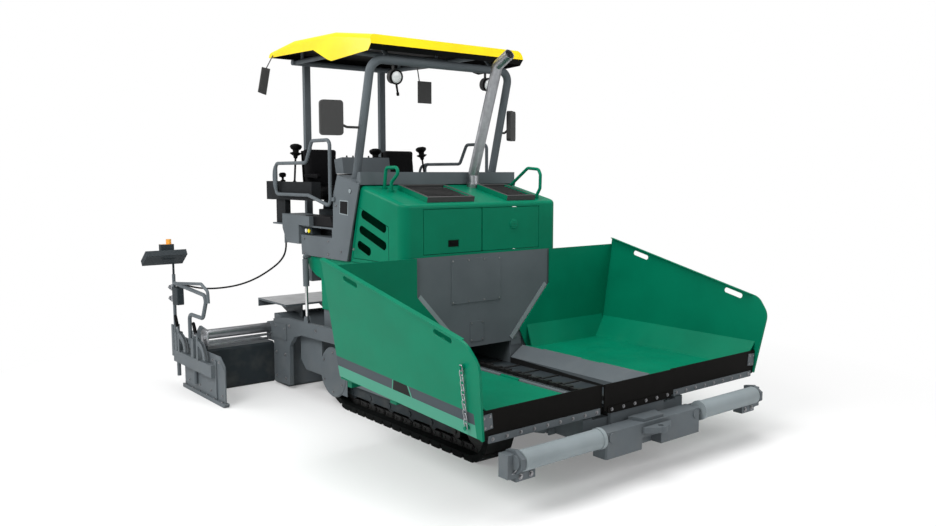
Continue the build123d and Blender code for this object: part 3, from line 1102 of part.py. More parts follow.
def end_gate():
    """Side gate with its skid, stiffening beam, crank spindles, hand tubes and console post."""
    outline = [(GATE_FRONT_Y, 36), (GATE_FRONT_Y, 387), (1379, 469), (GATE_REAR_Y, GATE_TOP_Z), (GATE_REAR_Y, 36)]
    plate = slab_x(outline, (GATE_X, GATE_X + GATE_THICK))
    skid = slab_x([(GATE_FRONT_Y - 22, 30), (GATE_FRONT_Y - 8, 4), (GATE_FRONT_Y + 10, 0), (GATE_REAR_Y + 20, 0), (GATE_REAR_Y + 20, 38),
                   (GATE_FRONT_Y - 15, 38)], (GATE_X - 18, GATE_X + 32))
    beam = box((GATE_X + GATE_THICK - 1, GATE_X + 62), (1480, REAR_Y), (250, 370))
    links = [box((EXT_OUTER_X + 20 + SEAT_GAP, GATE_X + 1), y, (180, 420)) for y in ((EXT_FRONT_Y + 20, EXT_FRONT_Y + 110), (2180, 2270))]
    spindles = []
    for y in (1960, 2420):
        spindles.append(rod((GATE_X + 30, y, 100), (GATE_X + 30, y, 640), 20))
        spindles.append(box((GATE_X - 10, GATE_X + 60), (y - 34, y + 34), (360, 560)))
    bridge = box((GATE_X - 1, GATE_X + 20), (1930, 2460), (440, 520))
    post = rod_z(GATE_X + 46, 2440, (360, GATE_POST_TOP), 17)
    return join(plate, skid, beam, *links, *spindles, bridge, post)


def gate_rails():
    """Two bent hand tubes and the junction box on the post."""
    x = GATE_X + 46
    low = bent_tube([(x, 2030, 500), (x, 2030, 800), (x, 1680, 800), (x, 1560, 1030), (x, 2440, 1072)], 19, 60)
    high = bent_tube([(x, 2440, 1066), (x, 1700, 1135), (x, 1540, 1080), (x, 1530, 965)], 15, 45)
    mouth = Vector(-CABLE_END[0], CABLE_END[1], CABLE_END[2])
    inward = Vector(x, 2446, 1074) - mouth
    gland = rod(mouth + inward.normalized() * SEAT_GAP, mouth + inward, CABLE_RADIUS + 5)
    return low, high, gland


def remote_console():
    """Small control desk on the post, with its lamp."""
    x = GATE_X + 46
    stem = rod_z(x, 2440, (GATE_POST_TOP + SEAT_GAP, 1290), 11)
    desk = Pos(x + 110, 2378, 1345) * Rot(-35, 0, 0) * Box(410, 190, 60)
    tower = box((x + 20, x + 150), (2340, 2410), (1330, 1480))
    lamp = rod_z(x + 62, 2375, (1478, 1530), 26)
    return join(stem, desk, tower, lamp)


# Augers

def auger():
    """Shaft with a helical flight, cast in flat steps."""
    steps_per_turn = 10
    length = AUGER_OUTER_X - AUGER_INNER_X - 50
    steps = round(length / AUGER_PITCH * steps_per_turn)
    sections = []
    for i in range(steps + 1):
        angle = 2 * math.pi * i / steps_per_turn
        x = AUGER_INNER_X + 20 + length * i / steps
        spoke = Vector(0, math.cos(angle), math.sin(angle))
        centre = Vector(x, AUGER_Y, AUGER_Z)
        across = Vector(7, 0, 0)
        near = centre + spoke * (AUGER_SHAFT_RADIUS - 8)
        far = centre + spoke * AUGER_RADIUS
        sections.append(Wire.make_polygon([near - across, far - across, far + across, near + across]))
    flight = Solid.make_loft(sections, ruled=True)
    shaft = rod_x((AUGER_INNER_X, AUGER_OUTER_X), AUGER_Y, AUGER_Z, AUGER_SHAFT_RADIUS)
    stubs = [rod_x((AUGER_INNER_X - 1, AUGER_INNER_X + 30), AUGER_Y, AUGER_Z, AUGER_STUB_RADIUS + RUN_GAP),
             rod_x((AUGER_OUTER_X - 30, AUGER_OUTER_X + 1), AUGER_Y, AUGER_Z, AUGER_STUB_RADIUS + RUN_GAP)]
    return shaft.fuse(flight) - stubs[0] - stubs[1]


def auger_case():
    """Two side beams with their end plates, and the centre drive hung above the conveyor's mouth."""
    level = (AUGER_Z + AUGER_RADIUS + 20, AUGER_Z + AUGER_RADIUS + 100)
    front = FRAME_REAR_Y + SEAT_GAP
    arm = box((-60, 60), (front, AUGER_Y + 60), (TUNNEL_TOP_Z - 2, TUNNEL_TOP_Z + 40))
    drive = box((-60, 60), (AUGER_Y - 40, AUGER_Y + 60), (AUGER_Z - 60, TUNNEL_TOP_Z))
    beam = box((TROUGH_X + 20, 870), (front, front + 80), level)
    plate = slab_x([(965, 240), (965, level[1]), (AUGER_Y + 20, level[1]), (AUGER_Y + 60, 540), (AUGER_Y + 60, 330),
                    (1300, 240)], (869, 892))
    inner_stub = rod_x((-AUGER_INNER_X - 28, AUGER_INNER_X + 28), AUGER_Y, AUGER_Z, AUGER_STUB_RADIUS)
    outer_stub = rod_x((AUGER_OUTER_X - 28, 870), AUGER_Y, AUGER_Z, AUGER_STUB_RADIUS)
    return [join(arm, drive, inner_stub)] + both_sides(join(beam, plate, outer_stub))


def lift_cylinder():
    """Screed lift cylinder: barrel hung from the frame's pin, rod down to the ears on the tow arm."""
    line = (Vector(*LIFT_FOOT) - Vector(*LIFT_TOP)).normalized()
    top = Vector(*LIFT_TOP)
    foot = Vector(*LIFT_FOOT)
    barrel = rod(top + line * 18, top + line * LIFT_BARREL, LIFT_RADIUS)
    eye = rod_x((LIFT_TOP[0] - 15, LIFT_TOP[0] + 15), LIFT_TOP[1], LIFT_TOP[2], 24)
    barrel = join(barrel, eye) - rod(top + line * 60, top + line * (LIFT_BARREL + 1), LIFT_ROD_RADIUS + RUN_GAP)
    barrel = barrel - rod_x((LIFT_TOP[0] - 40, LIFT_TOP[0] + 40), LIFT_TOP[1], LIFT_TOP[2], LIFT_PIN_RADIUS + RUN_GAP)
    shaft = rod(top + line * (LIFT_BARREL - 25), foot - line * 40, LIFT_ROD_RADIUS)
    blade = (LIFT_FOOT[0] - 8, LIFT_FOOT[0] + 8)
    tongue = box(blade, (LIFT_FOOT[1] - 15, LIFT_FOOT[1] + 15), (LIFT_FOOT[2], LIFT_FOOT[2] + 48))
    head = rod_x(blade, LIFT_FOOT[1], LIFT_FOOT[2], 22)
    return barrel, join(shaft, tongue, head)


def levelling_cylinder():
    """Vertical cylinder that holds the tow point, with its brackets on the frame side."""
    x = ARM_OUTER_X + 22
    barrel = rod_z(x, TOW_Y, (830, 1130), 30)
    piston = rod_z(x, TOW_Y, (TOW_Z + 40, 835), 15)
    eye = rod_x((x - 12, x + 12), TOW_Y, TOW_Z, 44) - rod_x((x - 13, x + 13), TOW_Y, TOW_Z, TOW_PIN_RADIUS + SEAT_GAP)
    bracket = box((BODY_OUTER_X + 5 + SEAT_GAP, x), (TOW_Y - 24, TOW_Y + 24), (1070, 1110))
    return join(barrel, piston, eye, bracket)


# Mirrors, lamps and small fittings

def mirrors():
    """Two outer mirrors on arms, and the two hanging mirrors under the roof."""
    outer = []
    for side, centre, turn, elbow in ((-1, (1148, 262), -14, 960), (1, (965, 318), 34, 880)):
        head = fillet(Box(205, 44, 300).edges().filter_by(Axis.Y), 30)
        head = Pos(side * centre[0], centre[1], 2672) * Rot(0, 0, turn) * head
        root = side * (POST_X + POST_RADIUS + SEAT_GAP)
        end = (side * (centre[0] - 38), centre[1] - 4, 2640)
        arm = bent_tube([(root, 321, 2600), (side * elbow, 321, 2600), end], 11, 20)
        outer.append(join(head, arm))
    rear_plate = slab_y([(-1003, 3265), (-1053, 3013), (-967, 2988), (-916, 3252)], (1893, 1907))
    rear_wire = rod((-960, 1900, 3250), (-ROOF_HALF - 4.6, 1900, 3390), 5)
    centre_plate = box((-206, -56), (293, 307), (2845, 3046))
    centre_wire = rod((-190, 300, 3040), (-284, 205.6, 3176.5), 5)
    return outer + [join(rear_plate, rear_wire), join(centre_plate, centre_wire)]


def work_lamp(x):
    """Round lamp on a bracket under the front hoop."""
    body = rod((x, 175, 3050), (x, 111, 3040), 62)
    stem = rod_z(x, HOOP_TOP[0], (3095, HOOP_TOP[1] - POST_RADIUS - SEAT_GAP), 12)
    return join(body, stem)


def corner_radii(points):
    """As large an arc at each corner as its two runs allow."""
    radii = []
    for before, here, after in zip(points, points[1:], points[2:]):
        arriving = Vector(*here) - Vector(*before)
        leaving = Vector(*after) - Vector(*here)
        turn = math.radians(arriving.get_angle(leaving))
        radii.append(0.45 * min(arriving.length, leaving.length) / math.tan(turn / 2))
    return radii


def screed_cable():
    """Cable that hangs from the right control cabinet to the post on the right end gate."""
    radii = corner_radii(CABLE_ROUTE)
    path = FilletPolyline(*CABLE_ROUTE, radius=radii)
    section = Plane(origin=path @ 0, z_dir=path % 0) * Circle(CABLE_RADIUS)
    tube = sweep(section, path=path)
    print("cable radii", [round(radius) for radius in radii])
    print("cable volume against length", tube.volume / (math.pi * CABLE_RADIUS ** 2 * path.length))
    return tube


def build():
    chassis_body = chassis()
    add("chassis", chassis_body)
    add("conveyor", conveyor())
    add("hopper_wall", hopper_wall())
    add_pair("track", track())
    add_pair("running_gear", running_gear())
    add_pair("wing", wing())
    add_pair("apron", side_apron())
    add("apron_centre", centre_apron())
    add_pair("apron_strip", *wing_strip())
    barrel, cylinder_rod = hopper_cylinder()
    add_pair("hopper_barrel", barrel)
    add_pair("hopper_rod", cylinder_rod)
    add("push_bar", push_bar())
    add_pair("push_roller", push_roller())
    shell, doors, side_doors = hood_and_doors()
    add("hood", shell)
    add("front_door_r", doors[0])
    add("front_door_l", doors[1])
    add("side_door_l", side_doors[0])
    add("side_door_r", side_doors[1])
    add("intake_grilles", intake_grille((-610, -95), (-395, 50)), intake_grille((290, 640), (-395, 40)))
    add("engine", box((-420, 420), (-330, 280), (TUNNEL_TOP_Z + 40 + SEAT_GAP, 1700)))
    add("exhaust", exhaust())
    add("grab_handles", *grab_handles())
    add("side_panels", *both_sides(side_panel()))
    add("stand", stand())
    add("stand_sides", *both_sides(stand_side()))
    add("cabinets", *both_sides(cabinet()))
    add("side_boxes", *both_sides(*side_box()))
    add("guard_rails", *both_sides(guard_rail()))
    add("console", console())
    add_pair("seat", seat())
    add("seat_feet", *both_sides(seat_foot()))
    add("roof", roof_shell())
    add("roof_frame", roof_frame())
    add("screed_body", screed_body())
    add("walkway", walkway())
    add_pair("extension", extension())
    add_pair("end_gate", end_gate().fuse(*gate_rails()))
    add_pair("remote_console", remote_console())
    barrel, cylinder_rod = lift_cylinder()
    add_pair("lift_barrel", barrel)
    add_pair("lift_rod", cylinder_rod)
    add("levelling_cylinders", *both_sides(levelling_cylinder()))
    add("mirrors_and_lamps", *mirrors(), work_lamp(-572), work_lamp(491))
    add("screed_cable", screed_cable())
    add_pair("auger", auger())
    add("auger_case", *auger_case())


build()
os.makedirs("parts", exist_ok=True)
for name, solids in NODES.items():
    shape = solids[0] if len(solids) == 1 else Compound(children=solids)
    export_step(shape, f"parts/{name}.step")
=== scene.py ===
# %% [markdown]
# # A compact asphalt paver, dressed for a studio picture
# The solids of the machine come as a fixed frame: one mesh for each steel part, already in place.
# This file gives every surface its finish, replaces the plain soft parts, and adds the small pieces
# that make a machine look made: bolts, chains, lenses, grips. Distances are in metres, the ground is z = 0,
# the hopper points along -Y and the machine's own left is +X.

# %% Load the frame
import math

import bmesh
import bpy
from mathutils import Matrix, Vector


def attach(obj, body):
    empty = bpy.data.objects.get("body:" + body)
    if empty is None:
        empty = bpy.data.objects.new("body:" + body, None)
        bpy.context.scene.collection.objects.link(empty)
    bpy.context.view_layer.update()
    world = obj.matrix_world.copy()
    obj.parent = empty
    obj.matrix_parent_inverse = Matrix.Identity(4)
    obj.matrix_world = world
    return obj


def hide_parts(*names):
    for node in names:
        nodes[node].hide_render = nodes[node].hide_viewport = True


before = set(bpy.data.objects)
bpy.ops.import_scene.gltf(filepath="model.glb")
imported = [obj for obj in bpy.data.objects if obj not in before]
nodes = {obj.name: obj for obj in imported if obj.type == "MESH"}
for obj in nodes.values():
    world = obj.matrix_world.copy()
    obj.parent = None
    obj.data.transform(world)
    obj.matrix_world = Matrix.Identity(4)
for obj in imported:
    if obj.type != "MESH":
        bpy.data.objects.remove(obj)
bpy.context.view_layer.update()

# %% [markdown]
# ## Shader arithmetic
# A finish is easier to read as a sum than as a drawing of boxes and wires. The class below wraps one socket,
# so that `base + 0.2 * noise` adds the Math nodes by itself. Colours can't go through Math nodes, because these
# turn them grey, so they are blended by a Mix node.

# %% Sockets that can be added and multiplied
class Field:
    """One output socket of a finish, ready for arithmetic."""

    def __init__(self, finish, socket):
        self.finish = finish
        self.socket = socket

    def __add__(self, other):
        return self.finish.math("ADD", self, other)

    def __sub__(self, other):
        return self.finish.math("SUBTRACT", self, other)

    def __rsub__(self, other):
        return self.finish.math("SUBTRACT", other, self)

    def __mul__(self, other):
        return self.finish.math("MULTIPLY", self, other)

    def __gt__(self, other):
        return self.finish.math("GREATER_THAN", self, other)

    def __lt__(self, other):
        return self.finish.math("LESS_THAN", self, other)

    __radd__ = __add__
    __rmul__ = __mul__


class Finish:
    """A material in the making: one method makes any node, the others are shorthand for it."""

    def __init__(self, name):
        self.material = bpy.data.materials.new(name)
        self.material.use_nodes = True
        self.tree = self.material.node_tree
        self.shader = self.tree.nodes["Principled BSDF"]

    def plug(self, socket, value):
        if isinstance(value, Field):
            self.tree.links.new(value.socket, socket)
        else:
            socket.default_value = value

    def node(self, kind, settings=None, inputs=None, output=0):
        """A node of that kind. Its settings come first, then the values or links of its inputs."""
        made = self.tree.nodes.new(kind)
        for key, value in (settings or {}).items():
            setattr(made, key, value)
        for key, value in (inputs or {}).items():
            self.plug(made.inputs[key], value)
        return Field(self, made.outputs[output])

    def math(self, operation, a, b=0.0):
        return self.node("ShaderNodeMath", {"operation": operation}, {0: a, 1: b})

    def place(self):
        """The point on the surface in the machine's own frame."""
        return self.node("ShaderNodeTexCoord", output="Object")

    def axes(self):
        """The same point as three numbers."""
        split = self.tree.nodes.new("ShaderNodeSeparateXYZ")
        self.plug(split.inputs[0], self.place())
        return [Field(self, output) for output in split.outputs]

    def noise(self, scale, detail=3.0, roughness=0.5):
        return self.node("ShaderNodeTexNoise", {}, {"Vector": self.place(), "Scale": scale, "Detail": detail,
                                                    "Roughness": roughness})

    def ramp(self, value, low, high):
        """0 below low, 1 above high, a straight rise between them."""
        return self.node("ShaderNodeMapRange", {"clamp": True}, {"Value": value, "From Min": low, "From Max": high})

    def blend(self, share, first, second):
        made = self.tree.nodes.new("ShaderNodeMix")
        made.data_type = "RGBA"
        self.plug(made.inputs["Factor"], share)
        for key, value in ((6, first), (7, second)):
            self.plug(made.inputs[key], value if isinstance(value, Field) else (*value, 1))
        return Field(self, made.outputs[2])

    def bump(self, height, strength=0.3, distance=0.001):
        normal = self.node("ShaderNodeBump", {}, {"Strength": strength, "Distance": distance, "Height": height})
        self.plug(self.shader.inputs["Normal"], normal)

    def set(self, **values):
        """Sockets of the shader itself, with underscores for the spaces in their names."""
        for key, value in values.items():
            socket = self.shader.inputs[key.replace("_", " ")]
            self.plug(socket, (*value, 1) if isinstance(value, tuple) else value)
        return self


# %% [markdown]
# ## Finishes
# Steel on a road machine is powder coated: glossy, but with the faint ripple that painters call orange peel,
# and with a little dust where things lie flat. One function makes such a coat from a colour, a gloss and the size
# of its ripple, so that green, greys and yellow differ only in numbers.

# %% Powder coats
def coated(name, colour, gloss, ripple=90.0, dust=0.03, coat=0.03, depth=0.12, markings=None):
    finish = Finish(name)
    cloud = finish.noise(2.3, 4.0)
    grain = finish.noise(ripple, 2.0)
    fine = finish.noise(640.0, 1.0)
    darker = tuple(c * 0.86 for c in colour)
    paint = finish.blend(finish.ramp(cloud, 0.35, 0.65), darker, colour)
    height = finish.axes()[2]
    low = finish.ramp(1.0 - height, 0.2, 0.95) * finish.ramp(finish.noise(7.0, 5.0), 0.45, 0.75)
    if markings:
        paint = markings(finish, paint)
    paint = finish.blend(low * dust * 4.0, paint, (0.30, 0.28, 0.25))
    finish.set(Base_Color=paint, Roughness=gloss + 0.10 * cloud + 0.22 * low, Coat_Roughness=0.12)
    finish.shader.inputs["Coat Weight"].default_value = coat
    finish.shader.inputs["Specular IOR Level"].default_value = 0.08
    finish.bump(grain + 0.25 * fine, depth, 0.0006)
    return finish.material


GREEN = (0.0, 0.176, 0.094)
PALE_GREEN = (0.060, 0.270, 0.185)
GREY = (0.112, 0.130, 0.142)
LIGHT_GREY = (0.250, 0.290, 0.305)
DARK_GREY = (0.030, 0.038, 0.043)
YELLOW = (0.88, 0.66, 0.010)
BLACK = (0.006, 0.006, 0.006)
LEAN = 168.0 / 1041.0


def wing_bands(finish, paint):
    """Grey band, black slanted field and pale green foot on the outside of a hopper side, told apart by place."""
    x, y, z = finish.axes()
    out = finish.math("ABSOLUTE", x) - (z - 0.504) * LEAN
    outside = (out > 1.4965) * (y > -2.150)
    below = ((z - 0.771) < (y + 0.389) * 0.0555) * outside
    foot = ((z - 0.688) < (y + 0.430) * 0.0526) * outside
    slant = (z - 0.685) * 0.35
    ahead = y + slant
    behind = y - slant
    field = (ahead < -1.232) * (behind > -1.425)
    frame_lines = (ahead < -1.220) * (behind > -1.440)
    paint = finish.blend(below, paint, (0.050, 0.063, 0.073))
    paint = finish.blend(below * frame_lines, paint, PALE_GREEN)
    paint = finish.blend(below * field, paint, BLACK)
    return finish.blend(foot, paint, PALE_GREEN)


green_coat = coated("green_coat", GREEN, 0.36, dust=0.006)
wing_coat = coated("wing_coat", GREEN, 0.36, dust=0.006, markings=wing_bands)
grey_coat = coated("grey_coat", GREY, 0.42, ripple=160.0)
light_coat = coated("light_coat", LIGHT_GREY, 0.38, ripple=160.0)
dark_coat = coated("dark_coat", DARK_GREY, 0.45, ripple=160.0)
yellow_shell = coated("yellow_shell", YELLOW, 0.30, ripple=60.0, dust=0.0, coat=0.25)
black_coat = coated("black_coat", (0.008, 0.008, 0.009), 0.42, ripple=160.0)


# %% [markdown]
# Bare metal and rubber need other recipes. A piston rod is chromed and nearly a mirror; a track link is dark,
# oily steel; the tail pipe is satin metal. Rubber is matt, and it shows where it has been walked and driven on.

# %% Metals and rubbers
def metal(name, colour, gloss, streak=0.12, scale=24.0, weight=1.0):
    finish = Finish(name)
    cloud = finish.noise(scale, 4.0)
    tone = finish.blend(finish.ramp(cloud, 0.3, 0.7), tuple(c * 0.8 for c in colour), colour)
    finish.set(Base_Color=tone, Roughness=gloss + streak * cloud)
    finish.shader.inputs["Metallic"].default_value = weight
    finish.bump(finish.noise(scale * 14.0, 2.0), 0.10, 0.0004)
    return finish.material


def matt(name, colour, gloss=0.62, grain=420.0, depth=0.25, scuffs=0.0):
    finish = Finish(name)
    cloud = finish.noise(9.0, 5.0)
    fine = finish.noise(grain, 2.0)
    tone = finish.blend(finish.ramp(cloud, 0.35, 0.7), tuple(c * 0.75 for c in colour), colour)
    worn = finish.ramp(finish.noise(34.0, 6.0, 0.7), 0.50, 0.70) * scuffs
    tone = finish.blend(worn, tone, (0.16, 0.155, 0.15))
    finish.set(Base_Color=tone, Roughness=gloss + 0.12 * cloud)
    finish.shader.inputs["Specular IOR Level"].default_value = 0.07
    finish.bump(fine, depth, 0.0007)
    return finish.material


def tread_plate(name, colour, pitch=0.030):
    """Bright plate with a raised diagonal pattern, as on a step."""
    finish = Finish(name)
    x, y, z = finish.axes()
    turn = 2 * math.pi / pitch
    one = finish.math("SINE", (x + y) * turn)
    two = finish.math("SINE", (x - y) * turn)
    bars = finish.ramp(one * two, 0.25, 0.5)
    cloud = finish.noise(8.0, 4.0)
    tone = finish.blend(finish.ramp(cloud, 0.3, 0.7), tuple(c * 0.8 for c in colour), colour)
    finish.set(Base_Color=tone, Roughness=0.34 + 0.16 * cloud)
    finish.shader.inputs["Metallic"].default_value = 0.6
    finish.bump(bars, 0.9, 0.002)
    return finish.material


def glowing(name, colour, gloss=0.18):
    """A lens: a bright bowl under a clear coat, with a fine ripple."""
    finish = Finish(name)
    ripple = finish.noise(160.0, 2.0)
    tone = finish.blend(ripple, tuple(c * 0.7 for c in colour), colour)
    finish.set(Base_Color=tone, Roughness=gloss + 0.08 * ripple)
    finish.shader.inputs["Coat Weight"].default_value = 0.8
    finish.bump(ripple, 0.3, 0.0008)
    return finish.material


chrome = metal("chrome", (0.72, 0.73, 0.75), 0.10, 0.05)
satin_steel = metal("satin_steel", (0.40, 0.41, 0.43), 0.34)
link_steel = metal("link_steel", (0.028, 0.028, 0.028), 0.44, weight=0.6)
bolt_steel = metal("bolt_steel", (0.30, 0.30, 0.31), 0.36)
tread_rubber = matt("tread_rubber", (0.005, 0.006, 0.006), 0.75, 260.0, 0.35, scuffs=0.03)
apron_rubber = matt("apron_rubber", (0.006, 0.0055, 0.005), 0.62, 500.0, 0.2)
cable_rubber = matt("cable_rubber", (0.014, 0.014, 0.014), 0.50)
black_plastic = matt("black_plastic", (0.004, 0.004, 0.004), 0.50, 700.0, 0.18)
dark_plastic = matt("dark_plastic", (0.018, 0.020, 0.022), 0.50, 700.0, 0.18)
seat_vinyl = matt("seat_vinyl", (0.007, 0.007, 0.008), 0.55, 900.0, 0.4)
walk_plate = tread_plate("walk_plate", (0.62, 0.63, 0.64))
clear_lens = glowing("clear_lens", (0.78, 0.80, 0.80))
amber_lens = glowing("amber_lens", (0.95, 0.42, 0.04))
mirror_glass = metal("mirror_glass", (0.80, 0.82, 0.84), 0.04, 0.01)
yellow_cap = coated("yellow_cap", (0.85, 0.70, 0.02), 0.40)
white_cap = coated("white_cap", (0.80, 0.80, 0.78), 0.40)


# %% [markdown]
# ## Camera, light and floor
# The machine stands on white paper in a white room, seen from its front right corner at eye height. The paper
# is a large plane that sends a little light of its own to the camera, so it turns white at the edges and keeps
# the shadow under the machine. Four large soft lamps do the rest.

# %% Camera
EYE = Vector((-4.841, -6.232, 2.198))
AZIMUTH = math.radians(-38.68)
ELEVATION = math.radians(6.06)
SENSOR_WIDTH = 36.0  # millimetres, like the focal length
FOCAL_LENGTH = 32.61
backwards = Vector((math.sin(AZIMUTH) * math.cos(ELEVATION), -math.cos(AZIMUTH) * math.cos(ELEVATION),
                    math.sin(ELEVATION)))
camera = bpy.data.objects.new("camera", bpy.data.cameras.new("camera"))
camera.data.sensor_width = SENSOR_WIDTH
camera.data.lens = FOCAL_LENGTH
camera.data.clip_end = 400.0
camera.location = EYE
camera.rotation_euler = backwards.to_track_quat("Z", "Y").to_euler()
bpy.context.scene.collection.objects.link(camera)
bpy.context.scene.camera = camera


# %% Lamps, white room and paper floor
def soft_lamp(name, place, aim, size, power):
    lamp = bpy.data.lights.new(name, "AREA")
    lamp.shape = "RECTANGLE"
    lamp.size, lamp.size_y = size
    lamp.energy = power
    holder = bpy.data.objects.new(name, lamp)
    holder.location = place
    holder.rotation_euler = (Vector(place) - Vector(aim)).to_track_quat("Z", "Y").to_euler()
    bpy.context.scene.collection.objects.link(holder)


soft_lamp("key", (-7.0, -2.0, 6.5), (0.0, 0.0, 1.0), (4.0, 4.0), 430.0)
soft_lamp("front", (3.5, -8.0, 4.5), (0.3, -0.5, 1.0), (4.0, 3.0), 130.0)
soft_lamp("rear", (-6.0, 5.5, 5.0), (0.0, 1.0, 1.2), (4.0, 3.0), 200.0)
soft_lamp("top", (0.5, -0.5, 8.5), (0.0, 0.0, 1.0), (5.0, 5.0), 420.0)

ROOM_LIGHT = 0.50  # what the white room gives to the machine; the camera sees full white
world = bpy.data.worlds.new("white_room")
world.use_nodes = True
bpy.context.scene.world = world
room = world.node_tree
background = room.nodes["Background"]
background.inputs["Color"].default_value = (1, 1, 1, 1)
rays = room.nodes.new("ShaderNodeLightPath")
level = room.nodes.new("ShaderNodeMapRange")
level.inputs["To Min"].default_value = ROOM_LIGHT
room.links.new(rays.outputs["Is Camera Ray"], level.inputs["Value"])
room.links.new(level.outputs[0], background.inputs["Strength"])

NEAR_GLOW = 0.22  # share of the paper's own light under the machine
GLOW_RISE = (2.6, 5.2)  # distances between which that share rises to one
paper = Finish("paper")
rays = paper.tree.nodes.new("ShaderNodeLightPath")
glow = paper.node("ShaderNodeEmission", {}, {"Color": (1, 1, 1, 1), "Strength": 1.0})
matte = paper.node("ShaderNodeBsdfDiffuse", {}, {"Color": (0.86, 0.86, 0.86, 1)})
seen = Field(paper, rays.outputs["Is Camera Ray"])
distance = paper.node("ShaderNodeVectorMath", {"operation": "LENGTH"}, {0: paper.place()}, 1)
share = seen * (NEAR_GLOW + (1.0 - NEAR_GLOW) * paper.ramp(distance, *GLOW_RISE))
mixed = paper.node("ShaderNodeMixShader", {}, {0: share, 1: matte, 2: glow})
paper.tree.links.new(mixed.socket, paper.tree.nodes["Material Output"].inputs["Surface"])

REACH = 150.0
floor_mesh = bpy.data.meshes.new("floor")
floor_mesh.from_pydata([(-REACH, -REACH, 0), (REACH, -REACH, 0), (REACH, REACH, 0), (-REACH, REACH, 0)], [],
                       [(0, 1, 2, 3)])
floor = bpy.data.objects.new("floor", floor_mesh)
floor_mesh.materials.append(paper.material)
bpy.context.scene.collection.objects.link(floor)

bpy.context.scene.view_settings.view_transform = "Standard"

# %% [markdown]
# ## The cable to the screed
# A rubber cable hangs from the control cabinet to the post on the right end gate, so that the small desk there can
# steer the screed. A cable is one smooth line: a curve whose few control points are listed, with a round section
# swept along it.

# %% Cable
CABLE_RADIUS = 0.009
CABLE_ROUTE = [
    (-0.915, 1.630, 1.495), (-0.915, 1.630, 1.410), (-0.958, 1.668, 1.306), (-1.045, 1.744, 1.213),
    (-1.163, 1.848, 1.118), (-1.290, 1.958, 1.056), (-1.422, 2.075, 1.025), (-1.550, 2.194, 1.015),
    (-1.660, 2.315, 1.034), (-1.742, 2.402, 1.060),
]


def smooth_line(name, route, radius):
    """A curve with a round section. Order 3 with clamped ends is set after the points."""
    data = bpy.data.curves.new(name, "CURVE")
    data.dimensions = "3D"
    spline = data.splines.new("NURBS")
    spline.points.add(len(route) - 1)
    for point, place in zip(spline.points, route):
        point.co = (*place, 1)
    spline.order_u = 3
    spline.use_endpoint_u = True
    spline.resolution_u = 12
    data.bevel_depth = radius
    data.bevel_resolution = 4
    data.use_fill_caps = True
    piece = bpy.data.objects.new(name, data)
    bpy.context.scene.collection.objects.link(piece)
    return piece


cable = smooth_line("cable", CABLE_ROUTE, CABLE_RADIUS)
cable.data.materials.append(cable_rubber)
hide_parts("screed_cable")
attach(cable, "tractor")

# %% [markdown]
# ## Dressing the solids
# Each solid gets its coat by name. A thin bevel then breaks its sharp edges: real plate edges are never
# knife-sharp, and it is their small highlight that tells the eye that something is made of thick steel.

# %% Coats by node
COATS = {
    "green_coat": ["hood", "front_door", "side_door", "side_panels", "grab_handles"],
    "wing_coat": ["wing"],
    "light_coat": ["push_roller"],
    "grey_coat": ["chassis", "push_bar", "stand_sides", "cabinets", "guard_rails", "screed_body", "walkway",
                  "extension", "end_gate", "hopper_barrel", "lift_barrel", "levelling_cylinders", "roof_frame",
                  "hopper_wall", "apron_strip", "stand", "auger_case", "running_gear", "console", "seat_feet"],
    "link_steel": ["conveyor", "auger", "engine"],
    "tread_rubber": ["track"],
    "yellow_shell": ["roof"],
    "apron_rubber": ["apron", "apron_centre"],
    "chrome": ["hopper_rod", "lift_rod"],
    "satin_steel": ["exhaust"],
    "black_plastic": ["side_boxes", "remote_console", "intake_grilles", "mirrors_and_lamps", "seat"],
}
BEVELS = {"wing": 0.003, "hood": 0.004, "push_bar": 0.004, "screed_body": 0.003, "stand_sides": 0.003,
          "cabinets": 0.006, "side_panels": 0.004, "end_gate": 0.003, "extension": 0.003, "roof": 0.006,
          "walkway": 0.003, "stand": 0.003, "console": 0.008, "side_boxes": 0.006, "chassis": 0.003,
          "front_door": 0.002, "side_door": 0.002, "hopper_wall": 0.002, "running_gear": 0.003}
coat_of = {stem: coat for coat, stems in COATS.items() for stem in stems}


def stem(name):
    return name[:-2] if name.endswith(("_l", "_r")) else name


def soften(piece, width, angle=32.0):
    bevel = piece.modifiers.new("edge", "BEVEL")
    bevel.width = width
    bevel.segments = 2
    bevel.limit_method = "ANGLE"
    bevel.angle_limit = math.radians(angle)
    bevel.harden_normals = False


for name, node in nodes.items():
    node.data.materials.clear()
    node.data.materials.append(bpy.data.materials[coat_of.get(stem(name), "grey_coat")])
    if stem(name) in BEVELS:
        soften(node, BEVELS[stem(name)])

print("coats on", len(nodes), "nodes")

# %% [markdown]
# Some solids carry more than one material: a rod is chromed, the roof is black underneath, a lamp has a lens.
# Their faces are told apart by where they lie and which way they look.

# %% Second coats by place
def recoat(name, material, test):
    """Give the faces that pass the test another material."""
    mesh = nodes[name].data
    mesh.materials.append(material)
    index = len(mesh.materials) - 1
    count = 0
    for face in mesh.polygons:
        if test(face.center, face.normal):
            face.material_index = index
            count += 1
    print(name, "has", count, "faces in", material.name)


def near_line(y, z, radius, margin=0.004):
    """Is a face on a round bar along X?"""
    return lambda c, n: abs(math.hypot(c.y - y, c.z - z) - radius) < margin and abs(n.x) < 0.5


